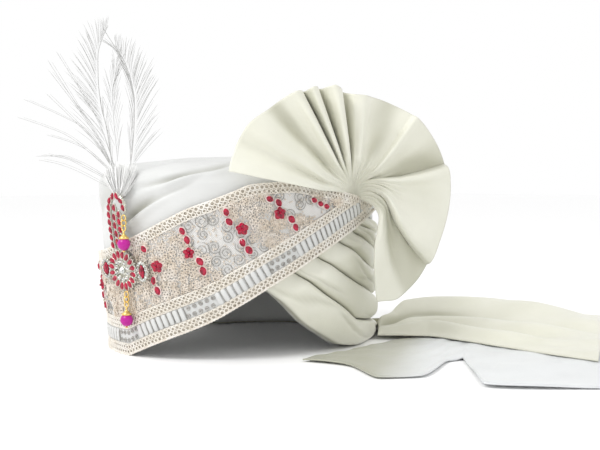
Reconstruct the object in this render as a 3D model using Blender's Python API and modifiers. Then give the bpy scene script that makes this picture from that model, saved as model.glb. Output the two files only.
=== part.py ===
"""A tied wedding pagri: a wound turban with an embroidered band, a pleated side fan, a tail and a plumed brooch.

Sizes are in metres, +Z is up, the wearer faces -Y and their left is +X.
"""

import math

import bmesh
import bpy
import numpy as np
from mathutils import Matrix, Vector

# The head that it fits, and the wound form round it
HEAD_HALF_WIDTH = 0.079
HEAD_HALF_LENGTH = 0.099
HEAD_WALL_HEIGHT = 0.092
HEAD_ROOM_HEIGHT = 0.136
TURBAN_HALF_WIDTH = 0.098
TURBAN_HALF_LENGTH = 0.116
TURBAN_HEIGHT = 0.148
UNDERWRAP = 0.0035
RIM_LIFT = 0.0015
LEDGE_LIP = 0.003
SEAT_GAP = 0.0010
LACE_GAP = 0.0006
STATION_COUNT = 36

# Cloth thicknesses and folds
BAND_THICKNESS = 0.0022
BORDER_THICKNESS = 0.0012
FAN_THICKNESS = 0.0016
TAIL_THICKNESS = 0.0016
ROLL_BULGE = 0.0045
ROLL_GAP = 0.0005
LOWER_BORDER_HEIGHT = 0.027
UPPER_BORDER_HEIGHT = 0.0072
LACE_RIDGE_HEIGHT = 0.0068

# Side fan, placed by the angle round the turban and the height of its gather
FAN_ANGLE = 105.0
FAN_GATHER_HEIGHT = 0.821 * TURBAN_HEIGHT
FAN_RADIUS = 0.0790
FAN_FOLD_DEPTH = 0.0062
FAN_CLEARANCE = 0.0105
FAN_TURN = 50.0
FAN_GATHER_RADIUS = 0.004
FAN_ROOT_OFF = 0.0009

# Brooch, placed on the band
BROOCH_ANGLE = 4.5
BROOCH_HEIGHT = 0.43 * TURBAN_HEIGHT
BROOCH_LEAN = 8.5
BROOCH_PLATE = 0.0016
FLOWER_RADIUS = 0.0118
FLOWER_PETALS = 16
SIDE_REACH = 0.0200
SIDE_RADIUS = 0.0052
STEM_WIRE_RADIUS = 0.0015
STONE_LENGTH = 0.0060
STONE_WIDTH = 0.0031
STONE_HEIGHT = 0.0019
BEAD_RADIUS = 0.0046
BEAD_HOLE_RADIUS = 0.0009
BEAD_SIDES = 12
LINK_RADIUS = 0.0022
LINK_WIRE = 0.00042
EYE_FORWARD = 0.0036

# Plume
PLUME_LENGTH = 0.125
PLUME_BLADE_THICKNESS = 0.0012
PLUME_QUILL_RADIUS = 0.0011
PLUME_ROOT_HEIGHT = 0.052
PLUME_TURN = 35.0

# Stone sprays on the band
SPRAY_STONE = 0.0056
SPRAY_FLOWER = 0.0078
SPRAY_STEM_RADIUS = 0.0005

# Tail, laid on the floor to the wearer's left rear
TAIL_REACH = 0.326
TAIL_RIDGE_HEIGHT = 0.026

# Creases between the rolls, as shares of the turban's height at each angle from the front, on both sides
CREASE_COLUMNS = ("angle", "rim", "first", "second", "third", "fourth", "fifth", "top")
CREASE_ROWS = (
    (57, 0.405, 0.561, 0.716, 0.870, 0.900, 0.915, 0.925),
    (66, 0.333, 0.500, 0.662, 0.818, 0.880, 0.900, 0.915),
    (74, 0.250, 0.443, 0.595, 0.757, 0.858, 0.885, 0.905),
    (82, 0.160, 0.378, 0.534, 0.689, 0.797, 0.851, 0.889),
    (92, 0.084, 0.294, 0.459, 0.615, 0.730, 0.797, 0.851),
    (103, 0.020, 0.216, 0.385, 0.537, 0.655, 0.723, 0.787),
    (115, 0.0, 0.135, 0.318, 0.456, 0.574, 0.642, 0.716),
    (150, 0.0, 0.088, 0.209, 0.338, 0.446, 0.520, 0.601),
    (180, 0.0, 0.081, 0.189, 0.304, 0.405, 0.480, 0.561),
)
# Where each roll comes out from under the band on the left, and from under the front wrap on the right
ROLL_COLUMNS = ("lower", "upper", "left_start", "right_start")
ROLL_ROWS = (
    ("rim", "first", 58, 58),
    ("first", "second", 68, 63),
    ("second", "third", 79, 68),
    ("third", "fourth", 90, 73),
    ("fourth", "fifth", 100, 76),
    ("fifth", "top", 106, 79),
)
# The roll's cross-section: share of its height, share of its thickness
ROLL_PROFILE = ((0.0, 0.46), (0.17, 0.88), (0.5, 1.02), (0.83, 0.88), (1.0, 0.50))
# Edges of the embroidered band, as shares of the turban's height
BAND_COLUMNS = ("angle", "lower", "upper")
BAND_ROWS = (
    (-78, 0.338, 0.378),
    (-70, 0.311, 0.399),
    (-60, 0.264, 0.426),
    (-50, 0.155, 0.453),
    (-42, 0.061, 0.473),
    (-34, 0.008, 0.490),
    (-26, 0.0, 0.500),
    (-12, 0.0, 0.518),
    (0, 0.0, 0.551),
    (7, 0.025, 0.576),
    (14, 0.056, 0.607),
    (27, 0.114, 0.680),
    (36, 0.155, 0.733),
    (45, 0.203, 0.775),
    (52, 0.252, 0.811),
    (59, 0.303, 0.846),
    (66, 0.357, 0.854),
    (74, 0.414, 0.860),
    (82, 0.474, 0.844),
    (90, 0.530, 0.828),
    (100, 0.594, 0.800),
    (106, 0.625, 0.785),
    (113, 0.661, 0.757),
    (122, 0.700, 0.738),
    (125, 0.708, 0.724),
)
# Half-width of the outline at each height: the front's flare, and the rounding of the top
FLARE_ROWS = ((0.0, 0.896), (0.375, 0.948), (0.62, 0.982), (0.78, 1.0), (1.0, 1.0))
DOME_ROWS = (
    (0.845, 1.0),
    (0.885, 0.985),
    (0.920, 0.94),
    (0.943, 0.86),
    (0.963, 0.64),
    (0.990, 0.25),
)
CEILING_ANGLES = (76, 50, 24, 0)
# The crown's drape: angle, height, half-spread in degrees, half-spread in height, depth in metres
DRAPE_COLUMNS = ("angle", "height", "spread", "rise", "depth")
DRAPE_ROWS = (
    (36, 0.86, 9, 0.035, -0.0022),
    (18, 0.74, 9, 0.06, -0.0016),
    (-30, 0.70, 12, 0.10, -0.0018),
    (4, 0.90, 14, 0.03, 0.0012),
)
# Outline of the fan: angle from the horizontal, radius as a share of the fan's
FAN_OUTLINE_ROWS = (
    (-76, 1.085),
    (-67, 1.137),
    (-55, 1.11),
    (-42, 1.053),
    (-28, 1.012),
    (-10, 1.007),
    (13, 0.985),
    (38, 0.945),
    (65, 0.885),
    (88, 0.872),
    (97, 0.9),
    (103, 0.965),
    (109, 0.965),
    (114, 1),
    (118, 1),
    (123, 1.034),
    (138, 1.074),
    (152, 1.147),
    (172, 1.17),
)
# Ridges (+) and valleys (-) of the fan as shares of its fold depth
FAN_FOLD_ROWS = (
    (-76, 0.9),
    (-66, 0.1),
    (-52, -0.6),
    (-44, -0.5),
    (-33, 1.5),
    (-20, 0.2),
    (-5, -1.1),
    (12, 1.2),
    (24, -0.7),
    (46, 0.9),
    (66, -0.7),
    (80, 0.1),
    (90, 0.7),
    (98, -1.0),
    (104, 1.1),
    (110.5, -0.9),
    (115, 1.0),
    (119.5, -0.8),
    (124, 0.9),
    (135, -0.8),
    (151, 0.5),
    (172, -0.3),
)
# Strips of the plume: points across and up as shares of its length, and the half-width at the middle
PLUME_ROWS = (
    (
        "left_feather",
        0.075,
        ((0.0, 0.0), (-0.035, 0.19), (-0.085, 0.42), (-0.115, 0.64), (-0.10, 0.82), (-0.05, 1.0)),
    ),
    (
        "right_feather",
        0.080,
        ((0.01, 0.0), (0.045, 0.19), (0.095, 0.40), (0.12, 0.60), (0.08, 0.77), (-0.035, 0.91)),
    ),
    ("middle_strand", 0.030, ((0.0, 0.0), (-0.005, 0.26), (-0.015, 0.48), (-0.005, 0.70))),
    ("high_wisp", 0.026, ((0.0, 0.0), (-0.06, 0.24), (-0.16, 0.48), (-0.27, 0.66), (-0.39, 0.77))),
    ("upper_wisp", 0.024, ((0.0, 0.0), (-0.065, 0.18), (-0.17, 0.38), (-0.34, 0.50), (-0.54, 0.57))),
    ("middle_wisp", 0.022, ((0.0, 0.0), (-0.065, 0.16), (-0.19, 0.30), (-0.38, 0.39), (-0.56, 0.45))),
    ("low_wisp", 0.022, ((0.0, 0.0), (-0.08, 0.135), (-0.21, 0.22), (-0.36, 0.255), (-0.49, 0.262))),
)
# Stones of the paisley stem: across and up from the flower's centre, tilt from upright in degrees
PAISLEY_STONES = (
    (-5.4, 18.5, 18),
    (-5.8, 24.0, 20),
    (-6.0, 29.5, 20),
    (-6.0, 35.0, 20),
    (-5.8, 40.5, 15),
    (-5.0, 46.0, 5),
    (-3.2, 51.0, -20),
    (0.8, 54.2, -15),
    (5.4, 54.3, 20),
    (9.2, 51.0, 45),
    (11.0, 46.0, 20),
    (0.2, 21.0, 15),
    (0.0, 27.0, 15),
    (-0.4, 33.0, 15),
    (-0.2, 39.2, 15),
    (0.9, 46.0, 0),
    (4.9, 24.5, 25),
    (5.0, 30.2, 25),
    (5.0, 35.8, 20),
    (5.2, 41.2, 5),
)
PAISLEY_UNIT = 0.001
# Route of the wire under the paisley's stones, in the same unit
PAISLEY_WIRES = (
    (
        (-4.2, 9.0),
        (-5.6, 18.0),
        (-6.0, 30.0),
        (-5.8, 41.0),
        (-3.6, 50.0),
        (1.5, 54.6),
        (7.0, 53.6),
        (10.8, 48.5),
        (10.6, 42.5),
    ),
    ((0.0, 9.0), (0.2, 20.0), (-0.3, 34.0), (0.6, 47.5)),
    ((4.2, 9.0), (4.9, 20.0), (5.0, 32.0), (5.2, 42.5)),
)
PAISLEY_BRIDGES = ((22.5, -5.8, 5.0), (33.0, -6.0, 5.0), (41.5, -5.8, 5.2))
UPPER_DROP_EYE = (10.9, 38.6)
LOWER_DROP_EYE = (3.0, -17.6)
# Each spray's stones: degrees from the front, share of the band's height, and length as a share of the stone, where
# 0 stands for the spray's flower stone
SPRAYS = (
    ((-43.0, 0.84, 0.85), (-40.5, 0.70, 0.0), (-41.5, 0.56, 1.0)),
    ((-24.5, 0.84, 0.85), (-20.5, 0.655, 0.0), (-21.5, 0.55, 0.9), (-19.5, 0.45, 0.9)),
    ((16.5, 0.85, 0.85), (22.1, 0.65, 0.0), (20.0, 0.545, 0.9), (21.6, 0.445, 1.0)),
    ((33.4, 0.842, 0.85), (35.1, 0.753, 0.9), (35.6, 0.641, 0.0), (39.7, 0.537, 1.0), (40.8, 0.45, 1.0)),
    ((49.6, 0.855, 0.85), (50.6, 0.765, 0.9), (55.1, 0.654, 0.0), (55.3, 0.535, 0.9), (57.6, 0.444, 1.0)),
    ((65.0, 0.85, 0.85), (68.3, 0.80, 0.9), (68.7, 0.695, 0.0), (73.3, 0.60, 1.0), (75.0, 0.50, 0.9)),
    ((82.4, 0.80, 0.8), (85.2, 0.745, 0.8), (88.0, 0.70, 0.8)),
)
# Outline of the tail's layers on the floor: share of the reach, across to the near and the far side in metres
LOWER_TAIL_COLUMNS = ("far_right", "far_depth", "near_right", "near_depth")
LOWER_TAIL_ROWS = (
    (0.345, 0.036, 0.238, 0.118),
    (0.375, 0.020, 0.265, 0.140),
    (0.430, 0.008, 0.325, 0.154),
    (0.470, 0.003, 0.380, 0.142),
    (0.520, 0.000, 0.445, 0.112),
    (0.570, -0.004, 0.478, 0.106),
    (0.640, -0.010, 0.468, 0.150),
    (0.720, -0.018, 0.455, 0.196),
    (0.850, -0.036, 0.570, 0.206),
    (1.000, -0.060, 0.705, 0.208),
)
UPPER_TAIL_COLUMNS = ("far_right", "far_depth", "near_right", "near_depth", "ridge")
UPPER_TAIL_ROWS = (
    (0.366, -0.066, 0.366, 0.012, 0.85),
    (0.420, -0.072, 0.410, 0.016, 1.00),
    (0.500, -0.078, 0.450, 0.018, 1.05),
    (0.620, -0.082, 0.520, 0.042, 1.00),
    (0.760, -0.082, 0.590, 0.072, 0.92),
    (0.880, -0.078, 0.660, 0.102, 0.66),
    (1.000, -0.072, 0.745, 0.134, 0.24),
)


def column(columns, rows, name):
    return np.array([row[columns.index(name)] for row in rows], float)


def through(places, values, at):
    """A smooth line through a table's values: cubic pieces whose slopes never overshoot."""
    x, y = np.asarray(places, float), np.asarray(values, float)
    step = np.diff(y) / np.diff(x)
    slope = np.zeros(len(x))
    same_way = step[1:] * step[:-1] > 0
    slope[1:-1][same_way] = 2 * step[1:][same_way] * step[:-1][same_way] / (step[1:] + step[:-1])[same_way]
    at = float(np.clip(at, x[0], x[-1]))
    k = int(np.clip(np.searchsorted(x, at, side="right") - 1, 0, len(x) - 2))
    width = x[k + 1] - x[k]
    s = (at - x[k]) / width
    rise = s * s * (3 - 2 * s)
    bend = s * (1 - s) * ((1 - s) * slope[k] - s * slope[k + 1]) * width
    return float(y[k] + (y[k + 1] - y[k]) * rise + bend)


def read(columns, rows, name, at, key="angle"):
    return through(column(columns, rows, key), column(columns, rows, name), at)


def smooth(x):
    x = min(max(x, 0.0), 1.0)
    return x * x * (3 - 2 * x)


def folded(angle):
    """The angle from the front, 0 to 180, whichever side it is on."""
    angle = (angle + 180.0) % 360.0 - 180.0
    return abs(angle)


def crease(name, angle):
    return TURBAN_HEIGHT * read(CREASE_COLUMNS, CREASE_ROWS, name, folded(angle))


def band_edge(name, angle):
    return TURBAN_HEIGHT * read(BAND_COLUMNS, BAND_ROWS, name, angle)


def signed(angle):
    return (angle + 180.0) % 360.0 - 180.0


def ledge(angle):
    """Height where the front wrap's full thickness starts: just above the rim in front, above the rolls behind."""
    start = "left_start" if signed(angle) > 0 else "right_start"
    present = [row for row in ROLL_ROWS if folded(angle) > row[ROLL_COLUMNS.index(start)] - 1.0]
    if not present:
        return rim(angle) + LEDGE_LIP
    return crease(present[-1][ROLL_COLUMNS.index("upper")], angle) + ROLL_GAP


def rim(angle):
    """Height of the inner form's rim: low at the brow and nape, high over each ear."""
    angle = signed(angle)
    band = band_edge("lower", angle) if abs(angle) < 90 else TURBAN_HEIGHT
    roll = crease("rim", angle) if abs(angle) > CREASE_ROWS[0][0] else TURBAN_HEIGHT
    return min(band, roll) + RIM_LIFT


def on_ellipse(angle, half_width, half_length, height):
    turn = math.radians(angle)
    return Vector((math.sin(turn) * half_width, -math.cos(turn) * half_length, height))


def outline_share(angle, height):
    share = height / TURBAN_HEIGHT
    flare = 1 - (1 - through(*zip(*FLARE_ROWS), share)) * (0.5 + 0.5 * math.cos(math.radians(angle)))
    return flare * through(*zip(*DOME_ROWS), share)


def outer(angle, height, off=0.0):
    """A point of the turban's outside, moved off it by some thickness."""
    share = outline_share(angle, height)
    return on_ellipse(angle, TURBAN_HALF_WIDTH * share + off, TURBAN_HALF_LENGTH * share + off, height)


def under(angle, height, off=0.0):
    """A point of the thin underwrap that the rolls lie on."""
    wide = HEAD_HALF_WIDTH + UNDERWRAP + off
    long = HEAD_HALF_LENGTH + UNDERWRAP + off
    return on_ellipse(angle, wide, long, height)


def outward(angle, height):
    """Unit normal of the outside at a place."""
    step = 0.5
    along = outer(angle + step, height) - outer(angle - step, height)
    up = outer(angle, height + 0.002) - outer(angle, height - 0.002)
    return along.cross(up).normalized()


def drape(angle, height):
    """Depth of the soft folds that run across the crown."""
    total = 0.0
    for row in DRAPE_ROWS:
        place, share, spread, rise, depth = row
        across = (signed(angle - place)) / spread
        high = (height / TURBAN_HEIGHT - share - 0.002 * signed(angle - place)) / rise
        total += depth * math.exp(-across * across * 0.25 - high * high)
    return total


def material(name, colour, roughness, metallic=0.0):
    made = bpy.data.materials.new(name)
    made.use_nodes = True
    shader = made.node_tree.nodes["Principled BSDF"]
    shader.inputs["Base Color"].default_value = (*colour, 1.0)
    shader.inputs["Roughness"].default_value = roughness
    shader.inputs["Metallic"].default_value = metallic
    return made


def link(name, mesh, finish, collection, parent):
    obj = bpy.data.objects.new(name, mesh)
    obj.data.materials.clear()
    obj.data.materials.append(finish)
    collection.objects.link(obj)
    obj.parent = parent
    return obj


def loft_mesh(name, rings):
    """One closed mesh through rings of points, with a flat cap on its first and last ring."""
    shape = bmesh.new()
    loops = [[shape.verts.new(point) for point in ring] for ring in rings]
    for first, second in zip(loops, loops[1:]):
        for k in range(len(first)):
            after = (k + 1) % len(first)
            shape.faces.new((first[k], first[after], second[after], second[k]))
    shape.faces.new(loops[0])
    shape.faces.new(loops[-1])
    bmesh.ops.recalc_face_normals(shape, faces=shape.faces)
    mesh = bpy.data.meshes.new(name)
    shape.to_mesh(mesh)
    shape.free()
    mesh.shade_smooth()
    mesh.set_sharp_from_angle(angle=math.radians(50))
    return mesh


def loft(name, rings, finish, collection, parent):
    return link(name, loft_mesh(name, rings), finish, collection, parent)


def cloth(name, place, across, along, thickness, finish, collection, parent):
    """A sheet: a grid whose corners go where place(across, along) says, given its wall by Solidify."""
    shape = bmesh.new()
    bmesh.ops.create_grid(shape, x_segments=across, y_segments=along, size=0.5)
    for vertex in shape.verts:
        vertex.co = place(vertex.co.x + 0.5, vertex.co.y + 0.5)
    mesh = bpy.data.meshes.new(name)
    shape.to_mesh(mesh)
    shape.free()
    mesh.shade_smooth()
    obj = link(name, mesh, finish, collection, parent)
    wall = obj.modifiers.new("wall", "SOLIDIFY")
    wall.thickness = thickness
    wall.offset = 0.0
    return obj


def stations(first=0.0, last=360.0):
    """Angles that every wound piece shares, from first to last."""
    even = [360.0 * k / STATION_COUNT for k in range(STATION_COUNT)]
    return [angle for angle in even if first <= angle <= last]


def crown_stations():
    """The shared angles, with a close pair before each roll's start, where the front wrap ends in a step."""
    steps = []
    for row in ROLL_ROWS:
        left, right = row[ROLL_COLUMNS.index("left_start")], 360.0 - row[ROLL_COLUMNS.index("right_start")]
        steps += [left - 1.8, left - 0.7, right + 0.7, right + 1.8]
    kept = [angle for angle in stations() if min(abs(angle - step) for step in steps) > 1.2]
    return sorted([*steps, *kept])


def roll_stations(first, last):
    inside = [angle for angle in stations(first, last) if angle > first + 1 and angle < last - 1]
    return [first, *inside, last]


def crown_rings():
    """Rings of the hollow wound form, from the ceiling over the head, round the rim, to the top."""
    angles = crown_stations()
    rings = []
    for turn in CEILING_ANGLES:
        scale = math.cos(math.radians(turn))
        lift = HEAD_WALL_HEIGHT + (HEAD_ROOM_HEIGHT - HEAD_WALL_HEIGHT) * math.sin(math.radians(turn))
        rings.append([on_ellipse(a, HEAD_HALF_WIDTH * scale, HEAD_HALF_LENGTH * scale, lift) for a in angles])
    rings.append([on_ellipse(a, HEAD_HALF_WIDTH, HEAD_HALF_LENGTH, rim(a)) for a in angles])
    rings.append([under(a, rim(a)) for a in angles])
    rings.append([under(a, ledge(a)) for a in angles])
    top = DOME_ROWS[0][0] * TURBAN_HEIGHT
    for share in (0.0, 0.25, 0.55, 1.0):
        rings.append([drape_point(a, ledge(a) + (max(top, ledge(a)) - ledge(a)) * share) for a in angles])
    for share, _ in DOME_ROWS[2:]:
        rings.append([drape_point(a, dome_height(a, share)) for a in angles])
    return rings


def dome_height(angle, share):
    """Heights of the dome's rings, squeezed upward where the ledge stands higher than they do."""
    low = max(ledge(angle) / TURBAN_HEIGHT, DOME_ROWS[0][0])
    run = (share - DOME_ROWS[0][0]) / (DOME_ROWS[-1][0] - DOME_ROWS[0][0])
    return TURBAN_HEIGHT * (low + (DOME_ROWS[-1][0] - low) * run)


def drape_point(angle, height):
    """The crown's outside with its soft folds, which fade out under the band."""
    place = signed(angle)
    covered = BAND_ROWS[0][0] - 6 < place < BAND_ROWS[-1][0] + 6
    clear = smooth((height - band_edge("upper", place) - 0.002) / 0.008) if covered else 1.0
    return outer(angle, height, drape(angle, height) * clear)


def make_crown(finish, collection, parent):
    return loft("crown", crown_rings(), finish, collection, parent)


def roll_exposure(angle, height):
    """0 where the band lies over a roll, 1 where the roll is free to swell past the outline."""
    place = signed(angle)
    below = (band_edge("lower", place) - 0.006 - height) / 0.012
    above = (height - band_edge("upper", place) - 0.006) / 0.012
    past_end = max(place - BAND_ROWS[-1][0], BAND_ROWS[0][0] - place) / 6.0
    return max(smooth(below), smooth(above), smooth(past_end))


def make_rolls(finish, collection, parent):
    """Wound rolls stacked from the rim up, each from the left temple round the nape to the right temple."""
    rolls = []
    for number, row in enumerate(ROLL_ROWS, start=1):
        lower, upper, left_start, right_start = row
        rings = []
        for angle in roll_stations(left_start, 360.0 - right_start):
            low = crease(lower, angle) + (ROLL_GAP if number > 1 else 0.0)
            high = crease(upper, angle) - ROLL_GAP / 4
            ring = [under(angle, low, SEAT_GAP)]
            for share, thick in ROLL_PROFILE:
                height = low + (high - low) * share
                bulge = (ROLL_BULGE + SEAT_GAP) * roll_exposure(angle, height) - SEAT_GAP
                inner = under(angle, height, SEAT_GAP)
                ring.append(inner + (outer(angle, height, bulge) - inner) * thick)
            ring.append(under(angle, high, SEAT_GAP))
            rings.append(ring)
        rolls.append(loft(f"wrap_roll_{number}", rings, finish, collection, parent))
    return rolls


def strip(name, low, high, off, profile, places, finish, collection, parent):
    """A strip round the front: low and high give its edges, profile its thickness at shares of its height."""
    rings = []
    for angle in places:
        bottom, top = low(angle), high(angle)
        ring = []
        for share in (0.0, 0.33, 0.66, 1.0):
            ring.append(outer(angle, bottom + (top - bottom) * share, off))
        for share, thick in reversed(profile):
            ring.append(outer(angle, bottom + (top - bottom) * share, off + thick))
        rings.append(ring)
    return loft(name, rings, finish, collection, parent)


def band_stations(first, last):
    """The shared angles from first to last, where those right of the front are negative."""
    right = [angle - 360.0 for angle in stations(180.0, 360.0)]
    left = stations(0.0, 179.0)
    inside = [angle for angle in sorted({*right, *left}) if first + 0.6 < angle < last - 0.6]
    return [first, *inside, last]


def lower_border_top(angle):
    low, high = band_edge("lower", angle), band_edge("upper", angle)
    return low + min(LOWER_BORDER_HEIGHT, (high - low) * 0.94)


def make_band(finish, lace, collection, parent):
    """The embroidered band, with a raised lace border along each edge."""
    whole = band_stations(BAND_ROWS[0][0], BAND_ROWS[-1][0])
    flat = [(share, BAND_THICKNESS) for share in (0.0, 0.3, 0.65, 1.0)]
    low = lambda angle: band_edge("lower", angle)
    high = lambda angle: band_edge("upper", angle)
    band = strip("front_band", low, high, SEAT_GAP, flat, whole, finish, collection, parent)
    over = SEAT_GAP + BAND_THICKNESS + LACE_GAP
    ridge = LACE_RIDGE_HEIGHT / LOWER_BORDER_HEIGHT
    raised = (
        (0.0, BORDER_THICKNESS),
        (ridge, BORDER_THICKNESS),
        (ridge * 1.15, BORDER_THICKNESS * 0.5),
        (1 - ridge * 1.15, BORDER_THICKNESS * 0.5),
        (1 - ridge, BORDER_THICKNESS),
        (1.0, BORDER_THICKNESS),
    )
    inset = 0.0004
    lower = strip(
        "lower_border",
        lambda angle: band_edge("lower", angle) + inset,
        lower_border_top,
        over,
        raised,
        band_stations(-52, 122),
        lace,
        collection,
        parent,
    )
    plain = [(0.0, BORDER_THICKNESS), (0.5, BORDER_THICKNESS * 1.3), (1.0, BORDER_THICKNESS)]
    upper = strip(
        "upper_border",
        lambda angle: band_edge("upper", angle) - UPPER_BORDER_HEIGHT,
        lambda angle: band_edge("upper", angle) - inset,
        over,
        plain,
        band_stations(-52, 96),
        lace,
        collection,
        parent,
    )
    return [band, lower, upper]


def view_frame():
    """Directions of the fan's plane: across it, and out of it."""
    turn = math.radians(FAN_TURN)
    across = Vector((math.cos(turn), math.sin(turn), 0.0))
    facing = Vector((math.sin(turn), -math.cos(turn), 0.0))
    return across, facing


def outline_depth(right, off):
    """How far towards the fan's side the turban's outline reaches, at a distance across it."""
    across, facing = view_frame()
    wide, long = TURBAN_HALF_WIDTH + off, TURBAN_HALF_LENGTH + off
    a = (facing.x / wide) ** 2 + (facing.y / long) ** 2
    b = right * (facing.x * across.x / wide**2 + facing.y * across.y / long**2)
    c = right**2 * ((across.x / wide) ** 2 + (across.y / long) ** 2) - 1
    return (-b + math.sqrt(max(b * b - a * c, 0.0))) / a


def outline_reach(depth, off):
    """How far across the turban's outline reaches, at a distance towards the fan's side."""
    across, facing = view_frame()
    wide, long = TURBAN_HALF_WIDTH + off, TURBAN_HALF_LENGTH + off
    a = (across.x / wide) ** 2 + (across.y / long) ** 2
    b = depth * (facing.x * across.x / wide**2 + facing.y * across.y / long**2)
    c = depth**2 * ((facing.x / wide) ** 2 + (facing.y / long) ** 2) - 1
    return (-b + math.sqrt(max(b * b - a * c, 0.0))) / a


def swept_depth(right):
    """How far out the fan stands at a distance across: it hugs the crown, then runs on straight behind it."""
    leave = 0.062
    return outline_depth(min(right, leave), FAN_CLEARANCE) - 0.55 * max(right - leave, 0.0)


def fan_point(around, out):
    """The fan's cloth at a share of its sweep and of its radius."""
    across, facing = view_frame()
    root = outer(FAN_ANGLE, FAN_GATHER_HEIGHT, 0.0)
    lowest, highest = FAN_OUTLINE_ROWS[0][0], FAN_OUTLINE_ROWS[-1][0]
    angle = lowest + (highest - lowest) * around
    full = FAN_RADIUS * through(*zip(*FAN_OUTLINE_ROWS), angle)
    least = FAN_GATHER_RADIUS + 0.014 * smooth((20.0 - angle) / 45.0)
    radius = least + (full - least) * out
    near = smooth((radius - FAN_GATHER_RADIUS) / 0.024)
    swing = angle - (1 - near) * 14.0 * smooth((angle - 120.0) / 40.0)
    hem = smooth((-30.0 - angle) / 40.0) * (1 - out)
    swing += 34.0 * hem
    turn = math.radians(swing)
    side, lift = radius * math.cos(turn), radius * math.sin(turn)
    envelope = smooth((radius - 0.012) / 0.040) * (1.0 - 0.25 * smooth((out - 0.7) / 0.3))
    fold = FAN_FOLD_DEPTH * (through(*zip(*FAN_FOLD_ROWS), angle) + 0.4) * envelope
    right = root.dot(across) + side
    large = across * right + facing * (swept_depth(right) + fold) + Vector((0, 0, root.z + lift))
    along = (outer(FAN_ANGLE + 1, FAN_GATHER_HEIGHT) - outer(FAN_ANGLE - 1, FAN_GATHER_HEIGHT)).normalized()
    close = root + along * side + Vector((0, 0, lift)) + outward(FAN_ANGLE, FAN_GATHER_HEIGHT) * FAN_ROOT_OFF
    return close.lerp(large, near)


def make_fan(finish, collection, parent):
    return cloth("side_fan", fan_point, 58, 5, FAN_THICKNESS, finish, collection, parent)


def floor_point(right, depth, height):
    """A point by its distance across and towards the fan's side, as the tail is laid."""
    across, facing = view_frame()
    return across * right + facing * depth + Vector((0, 0, height))


def tail_lower_point(along, across):
    shares = np.linspace(0, 1, len(LOWER_TAIL_ROWS))
    far_right, far_depth, near_right, near_depth = (
        through(shares, column(LOWER_TAIL_COLUMNS, LOWER_TAIL_ROWS, name), along) for name in LOWER_TAIL_COLUMNS
    )
    right = TAIL_REACH * (far_right + (near_right - far_right) * across)
    depth = far_depth + (near_depth - far_depth) * across
    wave = 0.0008 * (1 - math.cos(5 * math.pi * along + 4 * across)) * smooth((along - 0.45) / 0.3) * across
    return floor_point(right, depth, TAIL_THICKNESS * 0.55 + wave)


def tail_upper_point(along, across):
    shares = np.linspace(0, 1, len(UPPER_TAIL_ROWS))
    far_right, far_depth, near_right, near_depth, ridge = (
        through(shares, column(UPPER_TAIL_COLUMNS, UPPER_TAIL_ROWS, name), along) for name in UPPER_TAIL_COLUMNS
    )
    right = TAIL_REACH * (far_right + (near_right - far_right) * across)
    depth = far_depth + (near_depth - far_depth) * across
    crest = math.exp(-(((across - 0.36) / 0.20) ** 2)) + 0.30 * math.exp(-(((across - 0.78) / 0.10) ** 2))
    far_hem = smooth(across / 0.10)
    near_hem = 0.0048 - 0.0020 * smooth((across - 0.86) / 0.14)
    height = TAIL_THICKNESS * 0.55 + (near_hem + TAIL_RIDGE_HEIGHT * ridge * crest) * far_hem
    seat = outline_reach(depth, ROLL_BULGE) + TAIL_THICKNESS / 2 - 0.0003
    start = 1 - smooth(along / 0.10)
    return floor_point(right + (seat - right) * start, depth, height)


def make_tail(finish, collection, parent):
    lower = cloth("tail_lower", tail_lower_point, 18, 5, TAIL_THICKNESS, finish, collection, parent)
    upper = cloth("tail_upper", tail_upper_point, 11, 12, TAIL_THICKNESS, finish, collection, parent)
    return [lower, upper]


def cut_stone(shape, length, width, height, place, sides=8):
    """A cut stone with a table and a facet on each side, added to a mesh at a place."""
    made = bmesh.ops.create_cone(
        shape, cap_ends=True, segments=sides, radius1=0.5, radius2=0.27, depth=1.0, matrix=Matrix.Identity(4)
    )
    scale = Matrix.Diagonal((width, length, height, 1.0))
    bmesh.ops.transform(shape, matrix=place @ scale, verts=made["verts"])


def mesh_of(name, shape):
    mesh = bpy.data.meshes.new(name)
    shape.to_mesh(mesh)
    shape.free()
    return mesh


def fused(base, extra, cutters):
    """Joins the stones or wires in extra to the base by a Boolean union."""
    helper = bpy.data.objects.new(base.name + "_extra", extra)
    cutters.objects.link(helper)
    helper.parent = base.parent
    helper.hide_render = True
    helper.display_type = "WIRE"
    union = base.modifiers.new("union", "BOOLEAN")
    union.operation = "UNION"
    union.object = helper
    return base


def wire_mesh(name, routes, radius, closed=False):
    """Round wires through lists of points, as one mesh whose caps are welded."""
    curve = bpy.data.curves.new(name, "CURVE")
    curve.dimensions = "3D"
    curve.bevel_depth = radius
    curve.bevel_resolution = 1
    curve.use_fill_caps = True
    for route in routes:
        spline = curve.splines.new("POLY")
        spline.points.add(len(route) - 1)
        for point, place in zip(spline.points, route):
            point.co = (*place, 1.0)
        spline.use_cyclic_u = closed
    holder = bpy.data.objects.new(name, curve)
    bpy.context.scene.collection.objects.link(holder)
    bpy.context.view_layer.update()
    graph = bpy.context.evaluated_depsgraph_get()
    mesh = bpy.data.meshes.new_from_object(holder.evaluated_get(graph))
    bpy.data.objects.remove(holder)
    shape = bmesh.new()
    shape.from_mesh(mesh)
    bmesh.ops.remove_doubles(shape, verts=shape.verts, dist=0.00002)
    bmesh.ops.recalc_face_normals(shape, faces=shape.faces)
    shape.to_mesh(mesh)
    shape.free()
    return mesh


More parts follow.
